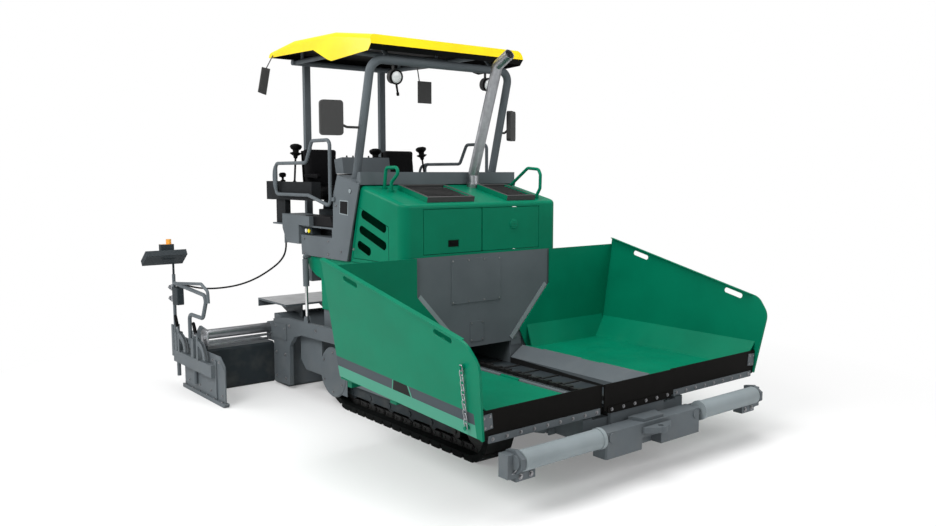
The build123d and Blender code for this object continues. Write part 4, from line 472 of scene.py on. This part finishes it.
TUBE = (2.012, 0.575, 0.050)
SLIDE_RODS = ((1.972, 0.468, 0.013), (1.972, 0.508, 0.013))
for side in ("_l", "_r"):
    for y, z, radius in (TUBE, *SLIDE_RODS):
        recoat("extension" + side, satin_steel, near_line(y, z, radius))
    recoat("extension" + side, dark_coat, lambda c, n: c.y < 1.97 and c.z < 0.44)
    recoat("running_gear" + side, dark_coat, lambda c, n: c.z < 0.236 and abs(c.x) < 0.90)
    recoat("running_gear" + side, link_steel, lambda c, n: abs(c.x) < 0.86 and c.y < -1.0 and c.z < 0.5)
    recoat("track" + side, link_steel, lambda c, n: abs(c.x) > 0.72 and abs(c.x) < 0.82)
    recoat("remote_console" + side, amber_lens, lambda c, n: c.z > 1.479)
    recoat("remote_console" + side, dark_coat, lambda c, n: c.z < 1.478)
    recoat("side_door" + side, black_coat, lambda c, n: abs(c.x) < 0.8885 and abs(n.x) < 0.9)
recoat("roof", black_plastic, lambda c, n: n.z < -0.2 or (n.z < 0.3 and n.x * c.x + n.y * (c.y - 1.0) < -0.05))
recoat("conveyor", dark_coat, lambda c, n: c.z < 0.4505 and n.z > 0.5)
recoat("conveyor", grey_coat, lambda c, n: abs(c.x) > 0.289 and c.z > 0.47)
recoat("mirrors_and_lamps", clear_lens, lambda c, n: c.y < 0.115 and c.z > 2.97 and n.y < -0.5)
recoat("mirrors_and_lamps", mirror_glass, lambda c, n: n.y > 0.8 and c.z < 2.85 and abs(c.x) > 0.84)
recoat("intake_grilles", green_coat, lambda c, n: abs(n.x) > 0.9)
recoat("side_boxes", dark_plastic, lambda c, n: True)
recoat("side_boxes", light_coat, lambda c, n: c.y > 2.02 and n.y > 0.5)
recoat("hopper_wall", light_coat, lambda c, n: n.y < -0.9 and c.y < -0.445 and abs(c.x) > 0.30 and c.z < 1.30
       and abs(c.x) > 0.28 + (c.z - 0.70) * 0.8)

# %% [markdown]
# ## Small pieces
# Bolts, grips, lenses and links are meshes of their own. Three ways of making them cover nearly everything:
# an outline pushed along a direction, a profile turned round an axis, and a round wire along a few points.

# %% Ways of making a piece
def finished(name, mesh, material, body, edge=0.0):
    """Turn a bmesh into an object that moves with a body."""
    bmesh.ops.recalc_face_normals(mesh, faces=mesh.faces[:])
    data = bpy.data.meshes.new(name)
    mesh.to_mesh(data)
    mesh.free()
    data.materials.append(material)
    piece = bpy.data.objects.new(name, data)
    bpy.context.scene.collection.objects.link(piece)
    if edge:
        soften(piece, edge)
    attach(piece, body)
    return piece


def pushed(mesh, outline, depth):
    """A flat outline made solid along a vector."""
    low = [mesh.verts.new(Vector(p)) for p in outline]
    high = [mesh.verts.new(Vector(p) + Vector(depth)) for p in outline]
    mesh.faces.new(low)
    mesh.faces.new(high[::-1])
    for i in range(len(low)):
        j = (i + 1) % len(low)
        mesh.faces.new((low[i], low[j], high[j], high[i]))


def turned(mesh, profile, base, axis, sides=20):
    """A profile of (along, radius) pairs turned round an axis."""
    axis = Vector(axis).normalized()
    across = axis.orthogonal().normalized()
    other = axis.cross(across)
    rings = []
    for along, radius in profile:
        ring = []
        for i in range(sides):
            angle = 2 * math.pi * i / sides
            ring.append(mesh.verts.new(Vector(base) + axis * along
                                       + (across * math.cos(angle) + other * math.sin(angle)) * radius))
        rings.append(ring)
    for near, far in zip(rings, rings[1:]):
        for i in range(sides):
            j = (i + 1) % sides
            mesh.faces.new((near[i], near[j], far[j], far[i]))
    mesh.faces.new(rings[0][::-1])
    mesh.faces.new(rings[-1])


def smooth(piece, angle=40.0):
    for face in piece.data.polygons:
        face.use_smooth = True
    piece.data.set_sharp_from_angle(angle=math.radians(angle))
    return piece


def wire(name, route, radius, material, body):
    """A bent round bar."""
    piece = smooth_line(name, route, radius)
    piece.data.materials.append(material)
    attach(piece, body)
    return piece


def bolt(mesh, place, normal, size=0.009):
    """A washer and a chamfered hexagon head."""
    turned(mesh, [(0.0, size * 1.55), (size * 0.22, size * 1.5)], place, normal, 16)
    lifted = Vector(place) + Vector(normal).normalized() * size * 0.22
    turned(mesh, [(0.0, size), (size * 0.62, size), (size * 0.75, size * 0.82)], lifted, normal, 6)


def row(start, end, count):
    start, end = Vector(start), Vector(end)
    return [start + (end - start) * i / (count - 1) for i in range(count)]


SIDES = (("_l", 1), ("_r", -1))

# %% [markdown]
# ## Bolts
# Rubber aprons are clamped by bolted strips, hatches are bolted to the wall, and side covers to the frame. One table
# names each row: the body that it moves with, the way the heads look, and where they sit.

# %% Rows of bolts
def side_face(z):
    """The hopper side's outer face at a height."""
    return 1.5 + (z - 0.504) * LEAN


BOLTS = {}
AHEAD = (0, -1, 0)
WING_STRIP_Y = -2.2132
WALL_Y = -0.4462
COLUMN_X = 0.9202
ARM_X = 0.9652
GATE_X = 1.7522


def add_bolts(name, body, normal, places, size=0.009):
    BOLTS.setdefault((name, body), []).append((normal, places, size))


for tag, side in SIDES:
    wing = "wing" + tag
    strip = row((side * 0.45, WING_STRIP_Y, 0.504), (side * 1.42, WING_STRIP_Y, 0.504), 9)
    add_bolts("apron_bolts" + tag, wing, AHEAD, strip)
    corner = [(side * 1.432, -2.2092, 0.59), (side * 1.480, -2.2092, 0.585), (side * 1.490, -2.2092, 0.65),
              (side * 1.440, -2.2092, 0.655)]
    add_bolts("apron_bolts" + tag, wing, AHEAD, corner, 0.006)
    slant = row((side * 0.345, WALL_Y, 0.690), (side * 0.735, WALL_Y, 1.115), 8)
    add_bolts("wall_bolts", "tractor", AHEAD, slant, 0.008)
    cover = [(side * 0.9152, 0.72 + 0.19 * math.cos(a), 0.32 + 0.19 * math.sin(a))
             for a in (math.radians(30 + 60 * i) for i in range(6))]
    add_bolts("cover_bolts", "tractor", (side, 0, 0), cover, 0.009)
    column = [(side * COLUMN_X, y, z) for y, z in ((0.30, 1.52), (0.52, 1.48), (0.60, 1.90), (0.76, 1.44),
                                                   (1.23, 1.42), (0.76, 1.56), (1.23, 1.56))]
    add_bolts("column_bolts", "tractor", (side, 0, 0), column, 0.008)
    arm = [(side * ARM_X, y, z) for y, z in ((1.60, 0.62), (1.60, 0.35), (1.60, 0.10), (1.80, 0.62), (1.80, 0.35),
                                             (1.80, 0.10), (1.50, 0.66), (0.95, 0.69), (0.20, 0.69))]
    add_bolts("arm_bolts", "screed", (side, 0, 0), arm, 0.011)
    gate = [(side * GATE_X, y, 0.41) for y in (1.40, 1.55, 2.20)]
    gate += [(side * GATE_X, y, 0.10) for y in (1.34, 1.62, 1.90, 2.18)]
    add_bolts("gate_bolts" + tag, "extension" + tag, (side, 0, 0), gate, 0.009)
    skid = row((side * 1.762, 1.33, 0.0382), (side * 1.762, 2.26, 0.0382), 6)
    add_bolts("gate_bolts" + tag, "extension" + tag, (0, 0, 1), skid, 0.009)
    foot = [(side * 1.20, -2.3352, 0.262), (side * 1.29, -2.3352, 0.262)]
    add_bolts("push_bolts", "push_bar", AHEAD, foot, 0.013)
for start_x, end_x, z, count in ((-0.375, 0.155, 1.436, 4), (-0.375, 0.155, 1.071, 4), (-0.168, -0.041, 0.715, 2),
                                 (-0.168, -0.041, 0.870, 2)):
    add_bolts("wall_bolts", "tractor", AHEAD, row((start_x, WALL_Y, z), (end_x, WALL_Y, z), count), 0.006)
add_bolts("apron_bolts", "tractor", AHEAD, row((-0.31, -2.2292, 0.508), (0.32, -2.2292, 0.508), 6))

for (name, body), rows in BOLTS.items():
    mesh = bmesh.new()
    for normal, places, size in rows:
        for place in places:
            bolt(mesh, place, normal, size)
    finished(name, mesh, bolt_steel, body)
print(sum(len(places) for rows in BOLTS.values() for _, places, _ in rows), "bolts")

# %% [markdown]
# ## Chains
# A chain is one link, an oval ring, set along a line with every second one turned by a quarter. A light chain holds
# each hopper side's lower edge, and short ones hold the pins of the push bar.

# %% Chains
def link(mesh, place, along, across, length=0.017, width=0.010, wire_radius=0.0032):
    """One oval ring of round wire."""
    along, across = Vector(along).normalized(), Vector(across).normalized()
    up = along.cross(across)
    rings = []
    steps = 14
    for i in range(steps):
        angle = 2 * math.pi * i / steps
        shift = length - width if math.cos(angle) > 0 else width - length
        centre = Vector(place) + along * (shift + width * math.cos(angle)) + across * width * math.sin(angle)
        outward = along * math.cos(angle) + across * math.sin(angle)
        rings.append([mesh.verts.new(centre + (outward * math.cos(t) + up * math.sin(t)) * wire_radius)
                      for t in (2 * math.pi * k / 6 for k in range(6))])
    for i in range(steps):
        near, far = rings[i], rings[(i + 1) % steps]
        for k in range(6):
            m = (k + 1) % 6
            mesh.faces.new((near[k], near[m], far[m], far[k]))


def chain(name, start, end, body, bow=0.0, size=1.0):
    """Links from one end to the other, bowed down in the middle."""
    start, end = Vector(start), Vector(end)
    pitch = 0.0265 * size
    count = max(2, round((end - start).length / pitch))
    mesh = bmesh.new()
    along = (end - start).normalized()
    side = along.cross(Vector((0, 1, 0.3))).normalized()
    for i in range(count + 1):
        share = i / count
        place = start.lerp(end, share) + Vector((0, 0, -bow * 4 * share * (1 - share)))
        link(mesh, place, along, side if i % 2 else along.cross(side), 0.017 * size, 0.010 * size, 0.0032 * size)
    return smooth(finished(name, mesh, satin_steel, body))


for tag, side in SIDES:
    top = (side * (side_face(0.983) + 0.020), -2.108, 0.975)
    low = (side * (side_face(0.575) + 0.022), -2.080, 0.580)
    chain("hopper_chain" + tag, top, low, "wing" + tag, size=1.25)
    mesh = bmesh.new()
    for y, z in ((-2.108, 0.983), (-2.076, 0.568)):
        base = (side * side_face(z), y, z)
        turned(mesh, [(0.0, 0.017), (0.006, 0.017), (0.008, 0.008), (0.026, 0.008), (0.028, 0.014), (0.034, 0.013)],
               base, (side, 0, -0.16), 16)
    smooth(finished("chain_hooks" + tag, mesh, green_coat, "wing" + tag))
    chain("pin_chain" + tag, (side * 1.348, -2.342, 0.318), (side * 1.368, -2.300, 0.262), "push_bar", 0.018)

# %% [markdown]
# ## Seats
# Each seat is a padded cushion and a padded back on a moulded pan, with two arm rests. The padding is simulated: the
# plain shape is remeshed into small faces and blown up a little like a cloth bag, and the travel of every point is
# capped, so that the pad bulges between its edges and stays inside its place.

# %% Seats
def rounded_block(name, size, place, tilt, material, round_by):
    """A block with round edges, set at a place and tilted about X."""
    mesh = bmesh.new()
    bmesh.ops.create_cube(mesh, size=1.0)
    bmesh.ops.scale(mesh, vec=size, verts=mesh.verts)
    bmesh.ops.bevel(mesh, geom=mesh.edges[:], offset=round_by, segments=4, profile=0.6, affect="EDGES")
    turn = Matrix.Translation(place) @ Matrix.Rotation(math.radians(tilt), 4, "X")
    bmesh.ops.transform(mesh, matrix=turn, verts=mesh.verts)
    data = bpy.data.meshes.new(name)
    mesh.to_mesh(data)
    mesh.free()
    data.materials.append(material)
    piece = bpy.data.objects.new(name, data)
    bpy.context.scene.collection.objects.link(piece)
    return piece


def applied(piece):
    """The piece with its modifiers turned into mesh."""
    seen = piece.evaluated_get(bpy.context.evaluated_depsgraph_get())
    mesh = bpy.data.meshes.new_from_object(seen)
    piece.modifiers.clear()
    piece.data = mesh
    return piece


def padded_piece(piece, voxel=0.009, cap=0.012):
    """Blow the piece up as a cloth bag under light pressure, and cap how far each point may travel."""
    remesh = piece.modifiers.new("remesh", "REMESH")
    remesh.mode = "VOXEL"
    remesh.voxel_size = voxel
    applied(piece)
    start = [vertex.co.copy() for vertex in piece.data.vertices]
    cloth = piece.modifiers.new("cloth", "CLOTH")
    cloth.settings.use_pressure = True
    cloth.settings.uniform_pressure_force = 4.0
    cloth.settings.effector_weights.gravity = 0.0
    cloth.point_cache.frame_start = 1
    cloth.point_cache.frame_end = 20
    for frame_number in range(1, 21):
        bpy.context.scene.frame_set(frame_number)
    applied(piece)
    for vertex, home in zip(piece.data.vertices, start):
        travel = vertex.co - home
        if travel.length > cap:
            vertex.co = home + travel.normalized() * cap
    for face in piece.data.polygons:
        face.use_smooth = True
    finer = piece.modifiers.new("finer", "SUBSURF")
    finer.levels = 1
    finer.render_levels = 1
    return applied(piece)


def twin(piece, name):
    """The mirror image at the other side of the machine."""
    mesh = piece.data.copy()
    mesh.transform(Matrix.Scale(-1, 4, Vector((1, 0, 0))))
    mesh.flip_normals()
    other = bpy.data.objects.new(name, mesh)
    bpy.context.scene.collection.objects.link(other)
    return other


SEAT_X, SEAT_Y, CUSHION_Z = 0.490, 1.480, 1.960
BACK_LEAN = -6  # degrees
seat_pad = rounded_block("seat_pad_l", (0.400, 0.420, 0.078), (SEAT_X, SEAT_Y - 0.025, CUSHION_Z + 0.050), 4,
                         seat_vinyl, 0.030)
seat_pad = padded_piece(seat_pad)
back_pad = rounded_block("back_pad_l", (0.380, 0.086, 0.440), (SEAT_X, SEAT_Y + 0.176, CUSHION_Z + 0.272), BACK_LEAN,
                         seat_vinyl, 0.036)
back_pad = padded_piece(back_pad)
shell = rounded_block("seat_shell_l", (0.370, 0.022, 0.410), (SEAT_X, SEAT_Y + 0.226, CUSHION_Z + 0.262), BACK_LEAN,
                      black_plastic, 0.009)
pan = rounded_block("seat_pan_l", (0.375, 0.350, 0.030), (SEAT_X, SEAT_Y - 0.020, CUSHION_Z - 0.014), 0,
                    black_plastic, 0.010)
mesh = bmesh.new()
foot_profile = [(0.0, 0.068), (0.090, 0.060), (0.092, 0.069), (0.105, 0.069)]
turned(mesh, foot_profile, (SEAT_X, SEAT_Y, 1.832), (0, 0, 1), 28)
post = smooth(finished("seat_post_l", mesh, dark_coat, "seat_l"))
rests = []
for across in (-0.190, 0.190):
    mesh = bmesh.new()
    profile = [(SEAT_Y - 0.14, 2.165), (SEAT_Y - 0.13, 2.145), (SEAT_Y + 0.15, 2.155), (SEAT_Y + 0.16, 2.185),
               (SEAT_Y - 0.12, 2.190)]
    pushed(mesh, [(SEAT_X + across - 0.020, y, z) for y, z in profile], (0.040, 0, 0))
    rests.append(finished(f"arm_rest_{'in' if across < 0 else 'out'}_l", mesh, seat_vinyl, "seat_l", 0.008))
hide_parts("seat_l")
left_seat = [seat_pad, back_pad, shell, pan, post, *rests]
for piece in left_seat:
    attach(piece, "seat_l")
    right = twin(piece, piece.name[:-2] + "_r")
    if piece.name.startswith("arm_rest"):
        soften(right, 0.008)
    if piece is shell:
        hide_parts("seat_r")
    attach(right, "seat_r")
print("seat pad", len(seat_pad.data.vertices), "points")

# %% [markdown]
# ## Operator's place
# Knobs on their stems, a black box along each edge of the deck, sockets below it, a blank plate on each column
# and the return loop of the guard rails.

# %% Operator's place
def knob(mesh, top, foot, radius=0.062):
    """A mushroom knob on a thin stem that leans from its foot."""
    axis = Vector(top) - Vector(foot)
    reach = axis.length
    turned(mesh, [(0.0, 0.020), (0.01, 0.010), (reach - 0.150, 0.010), (reach - 0.140, 0.020), (reach - 0.120, 0.024),
                  (reach - 0.098, radius * 0.95), (reach - 0.090, radius * 0.90), (reach - 0.084, 0.030),
                  (reach - 0.062, 0.032), (reach - 0.050, radius * 0.80), (reach - 0.030, radius),
                  (reach - 0.012, radius * 0.90), (reach, radius * 0.45)], foot, axis, 24)


mesh = bmesh.new()
knob(mesh, (-0.775, 1.640, 2.490), (-0.815, 1.610, 2.112))
knob(mesh, (0.775, 1.640, 2.490), (0.815, 1.610, 2.112))
knob(mesh, (-0.200, 1.060, 2.440), (-0.200, 1.050, 2.330))
for x in (-0.55, -0.48, -0.41, -0.30, -0.24):
    turned(mesh, [(0.0, 0.013), (0.012, 0.013), (0.016, 0.009), (0.034, 0.008), (0.038, 0.005)],
           (x, 1.02, 2.330), (0, 0.1, 1), 14)
for side in (1, -1):
    turned(mesh, [(0.0, 0.030), (0.012, 0.026), (0.020, 0.012), (0.042, 0.013), (0.050, 0.034), (0.078, 0.038),
                  (0.092, 0.024)], (side * 0.800, 1.900, 2.110), (0, 0.1, 1), 20)
smooth(finished("knobs", mesh, black_plastic, "tractor"))

STEP_BOX = ((0.700, 1.692), (1.290, 1.692), (1.290, 1.755), (1.240, 1.790), (0.760, 1.790))
SOCKET_BOX = ((1.125, 1.600), (1.285, 1.600), (1.285, 1.672), (1.150, 1.672))
SOCKET_X = 0.885
SOCKET_Z = 1.636
SOCKET_RIM = [(0.0, 0.021), (0.010, 0.021), (0.013, 0.015), (0.014, 0.004)]
BLANK_PLATE = ((0.400, 1.826), (0.530, 1.836), (0.522, 1.944), (0.392, 1.940))
PLATE_FRAME = ((0.390, 1.816), (0.540, 1.827), (0.532, 1.954), (0.382, 1.950))

mesh = bmesh.new()
for side in (1, -1):
    pushed(mesh, [(side * 0.895, y, z) for y, z in STEP_BOX], (-side * 0.16, 0, 0))
finished("step_boxes", mesh, black_coat, "tractor", 0.008)

mesh = bmesh.new()
caps = bmesh.new()
yellow_caps = bmesh.new()
for side in (1, -1):
    pushed(mesh, [(side * SOCKET_X, y, z) for y, z in SOCKET_BOX], (-side * 0.10, 0, 0))
    turned(caps, SOCKET_RIM, (side * SOCKET_X, 1.240, SOCKET_Z), (side, 0, 0), 20)
    turned(yellow_caps, SOCKET_RIM, (side * SOCKET_X, 1.185, SOCKET_Z), (side, 0, 0), 20)
finished("socket_boxes", mesh, dark_coat, "tractor", 0.004)
smooth(finished("white_sockets", caps, white_cap, "tractor"))
smooth(finished("yellow_sockets", yellow_caps, yellow_cap, "tractor"))

mesh = bmesh.new()
trim = bmesh.new()
for side in (1, -1):
    pushed(mesh, [(side * COLUMN_X, y, z) for y, z in BLANK_PLATE], (side * 0.004, 0, 0))
    pushed(trim, [(side * 0.9201, y, z) for y, z in PLATE_FRAME], (side * 0.0022, 0, 0))
    turned(trim, [(0.0, 0.020), (0.004, 0.020), (0.006, 0.014)], (side * COLUMN_X, 0.350, 2.038), (side, 0, 0), 24)
finished("blank_plates", mesh, black_coat, "tractor", 0.001)
finished("plate_frames", trim, light_coat, "tractor", 0.0006)

for side, tag in ((1, "left"), (-1, "right")):
    x = side * 0.918
    wire(f"rail_return_{tag}", [(x, 1.700, 2.297), (x, 1.800, 2.294), (x, 1.858, 2.230), (x, 1.866, 2.130),
                                (x, 1.835, 2.030), (x, 1.760, 1.984), (x, 1.700, 1.984)], 0.015, grey_coat, "tractor")

# %% [markdown]
# ## Hood
# The left front door gets a round louvre with five blades, and the right one a flat latch.

# %% Hood fittings
LOUVRE_X, LOUVRE_Y, LOUVRE_Z = 0.330, -0.4402, 1.735
LATCH_X, LATCH_Z = -0.363, 1.5915
LATCH_PLATE = ((-0.055, -0.028), (0.055, -0.028), (0.055, 0.028), (-0.055, 0.028))
LATCH_HANDLE = ((-0.030, -0.006), (0.030, -0.006), (0.034, 0.012), (-0.034, 0.012))

mesh = bmesh.new()
turned(mesh, [(0.0, 0.046), (0.005, 0.046), (0.007, 0.040)], (LOUVRE_X, LOUVRE_Y, LOUVRE_Z), AHEAD, 32)
for i in range(5):
    z = LOUVRE_Z + (i - 2) * 0.015
    half = math.sqrt(max(0.036 ** 2 - (z - LOUVRE_Z) ** 2, 0.0))
    pushed(mesh, [(LOUVRE_X - half, -0.4470, z - 0.003), (LOUVRE_X + half, -0.4470, z - 0.003),
                  (LOUVRE_X + half, -0.4500, z - 0.007), (LOUVRE_X - half, -0.4500, z - 0.007)], (0, 0, 0.006))
smooth(finished("round_louvre", mesh, green_coat, "front_door_l"))
mesh = bmesh.new()
pushed(mesh, [(LATCH_X + a, -0.4352, LATCH_Z + b) for a, b in LATCH_PLATE], (0, -0.002, 0))
pushed(mesh, [(LATCH_X + a, -0.4375, LATCH_Z + b) for a, b in LATCH_HANDLE], (0, -0.005, 0))
finished("latch", mesh, black_plastic, "front_door_r", 0.002)

# %% [markdown]
# ## Screed and gates
# Spindles end in cranks with black grips. A junction box and two clamps with wing knobs sit on the post, quarter-round
# plates stand beside the spindles, and the walkway has a top of bright plate.

# %% Gate fittings
CRANK_X = 1.800
CRANKS = (("rear", 2.420, (2.395, 0.742), (2.342, 0.628)), ("front", 1.960, (1.903, 0.734), (1.842, 0.622)))
QUARTER_ARC = [(math.cos(t), math.sin(t)) for t in (math.radians(9 * i) for i in range(11))]
QUARTER = [(-0.172 * a, 0.172 * b) for a, b in QUARTER_ARC]
QUARTER += [(-0.118 * a, 0.118 * b) for a, b in reversed(QUARTER_ARC)]
PLATES = (  # distance from the middle, thickness, outline in (y, z)
    (1.790, 0.013, ((2.465, 0.300), (2.520, 0.300), (2.520, 0.630), (2.465, 0.630))),
    (1.7525, 0.004, ((1.290, 0.375), (1.370, 0.440), (1.370, 0.420), (1.302, 0.360))),
    (1.7525, 0.012, ((1.455, 0.045), (1.485, 0.045), (1.485, 0.425), (1.455, 0.410))),
)
DISC = [(-0.010, 0.085), (0.004, 0.085), (0.006, 0.074), (0.002, 0.060), (0.002, 0.030), (0.012, 0.028), (0.014, 0.012)]
JUNCTION_BOX = ((2.250, 0.862), (2.400, 0.848), (2.412, 1.040), (2.256, 1.030))
WING_KNOB = [(0.0, 0.008), (0.004, 0.026), (0.012, 0.026), (0.016, 0.010)]
CLAMP = [(0.0, 0.024), (0.060, 0.024), (0.062, 0.016)]
ARM_COVER = ((1.560, 0.500), (1.860, 0.500), (1.860, 0.610), (1.830, 0.650), (1.560, 0.670))

for tag, side in SIDES:
    body = "extension" + tag
    x = side * CRANK_X
    for label, foot_y, (top_y, top_z), (low_y, low_z) in CRANKS:
        route = [(side * 1.770, foot_y, 0.632), (side * 1.782, foot_y - 0.020, 0.606),
                 (x, low_y + 0.012, low_z - 0.020), (x, low_y, low_z)]
        wire(f"crank_{label}{tag}", route, 0.0085, satin_steel, body)
        mesh = bmesh.new()
        axis = Vector((0, top_y - low_y, top_z - low_z))
        grip = [(0.0, 0.010), (0.006, 0.0155), (0.050, 0.0175), (axis.length - 0.01, 0.0160), (axis.length, 0.009)]
        turned(mesh, grip, (x, low_y, low_z), axis, 18)
        smooth(finished(f"grip_{label}{tag}", mesh, black_plastic, body))
    mesh = bmesh.new()
    for y in (2.300, 1.790):
        for plate_x in (1.8005, 1.7720):
            pushed(mesh, [(side * plate_x, y + a, 0.395 + b) for a, b in QUARTER], (side * 0.006, 0, 0))
        pushed(mesh, [(side * 1.8005, y, 0.370), (side * 1.8005, y + 0.040, 0.370), (side * 1.8005, y + 0.040, 0.640),
                      (side * 1.8005, y, 0.600)], (side * 0.007, 0, 0))
    for plate_x, thick, outline in PLATES:
        pushed(mesh, [(side * plate_x, y, z) for y, z in outline], (side * thick, 0, 0))
    finished("gate_plates" + tag, mesh, grey_coat, body, 0.0015)
    mesh = bmesh.new()
    turned(mesh, DISC, (side * 1.7525, 1.740, 0.600), (side, 0, 0), 36)
    smooth(finished("hand_discs" + tag, mesh, satin_steel, body))
    mesh = bmesh.new()
    pushed(mesh, [(side * 1.752, y, z) for y, z in JUNCTION_BOX], (side * 0.070, 0, 0))
    finished("junction_box" + tag, mesh, dark_coat, body, 0.008)
    mesh = bmesh.new()
    for z in (0.905, 1.020):
        screw = [(x, 2.440, z), (x, 2.480, z + 0.004), (x, 2.510, z + 0.002)]
        wire(f"clamp_screw_{int(z * 1000)}{tag}", screw, 0.006, satin_steel, body)
        turned(mesh, WING_KNOB, (x, 2.500, z), (0, 1, 0.1), 5)
        turned(mesh, CLAMP, (side * 1.786, 2.470, z - 0.03), (0, 0, 1), 18)
    smooth(finished("clamp_knobs" + tag, mesh, satin_steel, body))

mesh = bmesh.new()
for side in (1, -1):
    pushed(mesh, [(side * 0.9660, y, z) for y, z in ARM_COVER], (side * 0.006, 0, 0))
finished("arm_covers", mesh, grey_coat, "screed", 0.002)
recoat("walkway", walk_plate, lambda c, n: n.z > 0.7)

# %% [markdown]
# ## Track links
# The rails of the tracks are plain bands. Link plates with two pin heads each make them a chain, along the ground
# and round the front wheel, where they show.

# %% Link plates
PITCH = 0.140
TRACK_X = 0.770
FIRST_Y = 0.52
IDLER_Y, IDLER_Z = -1.310, 0.235
LINK_PLATE = ((-0.058, -0.010), (-0.040, -0.022), (0.040, -0.022), (0.058, -0.010), (0.058, 0.010), (0.030, 0.024),
              (-0.030, 0.024), (-0.058, 0.010))
PIN_HEAD = [(0.0, 0.013), (0.005, 0.013), (0.006, 0.010)]


def loop_place(travel):
    """A point of the ground line and round the front wheel, and the way out of the loop there."""
    straight = FIRST_Y - IDLER_Y
    if travel < straight:
        return FIRST_Y - travel, 0.0, (0.0, -1.0)
    turn = (travel - straight) / IDLER_Z
    return IDLER_Y - IDLER_Z * math.sin(turn), IDLER_Z - IDLER_Z * math.cos(turn), (-math.sin(turn), -math.cos(turn))


for tag, side in SIDES:
    mesh = bmesh.new()
    for i in range(18):
        y, z, (out_y, out_z) = loop_place(i * PITCH + 0.07)
        middle = Vector((0, y - out_y * 0.080, z - out_z * 0.080))
        along = Vector((0, -out_z, out_y))
        inward = Vector((0, -out_y, -out_z))
        for rail in (TRACK_X + 0.046, TRACK_X - 0.052):
            outline = [middle + along * a + inward * b + Vector((side * rail, 0, 0)) for a, b in LINK_PLATE]
            pushed(mesh, outline, (side * 0.008, 0, 0))
            for a in (-0.034, 0.034):
                turned(mesh, PIN_HEAD, middle + along * a + Vector((side * (rail + 0.008), 0, 0)), (side, 0, 0), 8)
    finished("link_plates" + tag, mesh, link_steel, "tractor")

# %% [markdown]
# ## Roof fittings
# Each work lamp gets a rim, a domed clear lens and a short black wand below it.

# %% Work lamps
LAMP_RIM = [(-0.012, 0.066), (0.006, 0.066), (0.008, 0.056), (0.002, 0.054)]
LAMP_LENS = [(0.001, 0.053), (0.007, 0.045), (0.011, 0.028), (0.012, 0.008)]
LAMP_WAND = [(0.0, 0.010), (0.10, 0.009), (0.104, 0.014), (0.13, 0.012)]

mesh = bmesh.new()
lenses = bmesh.new()
for x in (-0.572, 0.491):
    front = Vector((x, 0.111, 3.040))
    axis = Vector((0, -0.988, -0.154))
    turned(mesh, LAMP_RIM, front, axis, 32)
    turned(lenses, LAMP_LENS, front, axis, 32)
    turned(mesh, LAMP_WAND, (x + 0.02, 0.150, 3.010), (0.1, -0.1, -1), 14)
smooth(finished("lamp_rims", mesh, black_plastic, "tractor"))
smooth(finished("lamp_lenses", lenses, clear_lens, "tractor"))
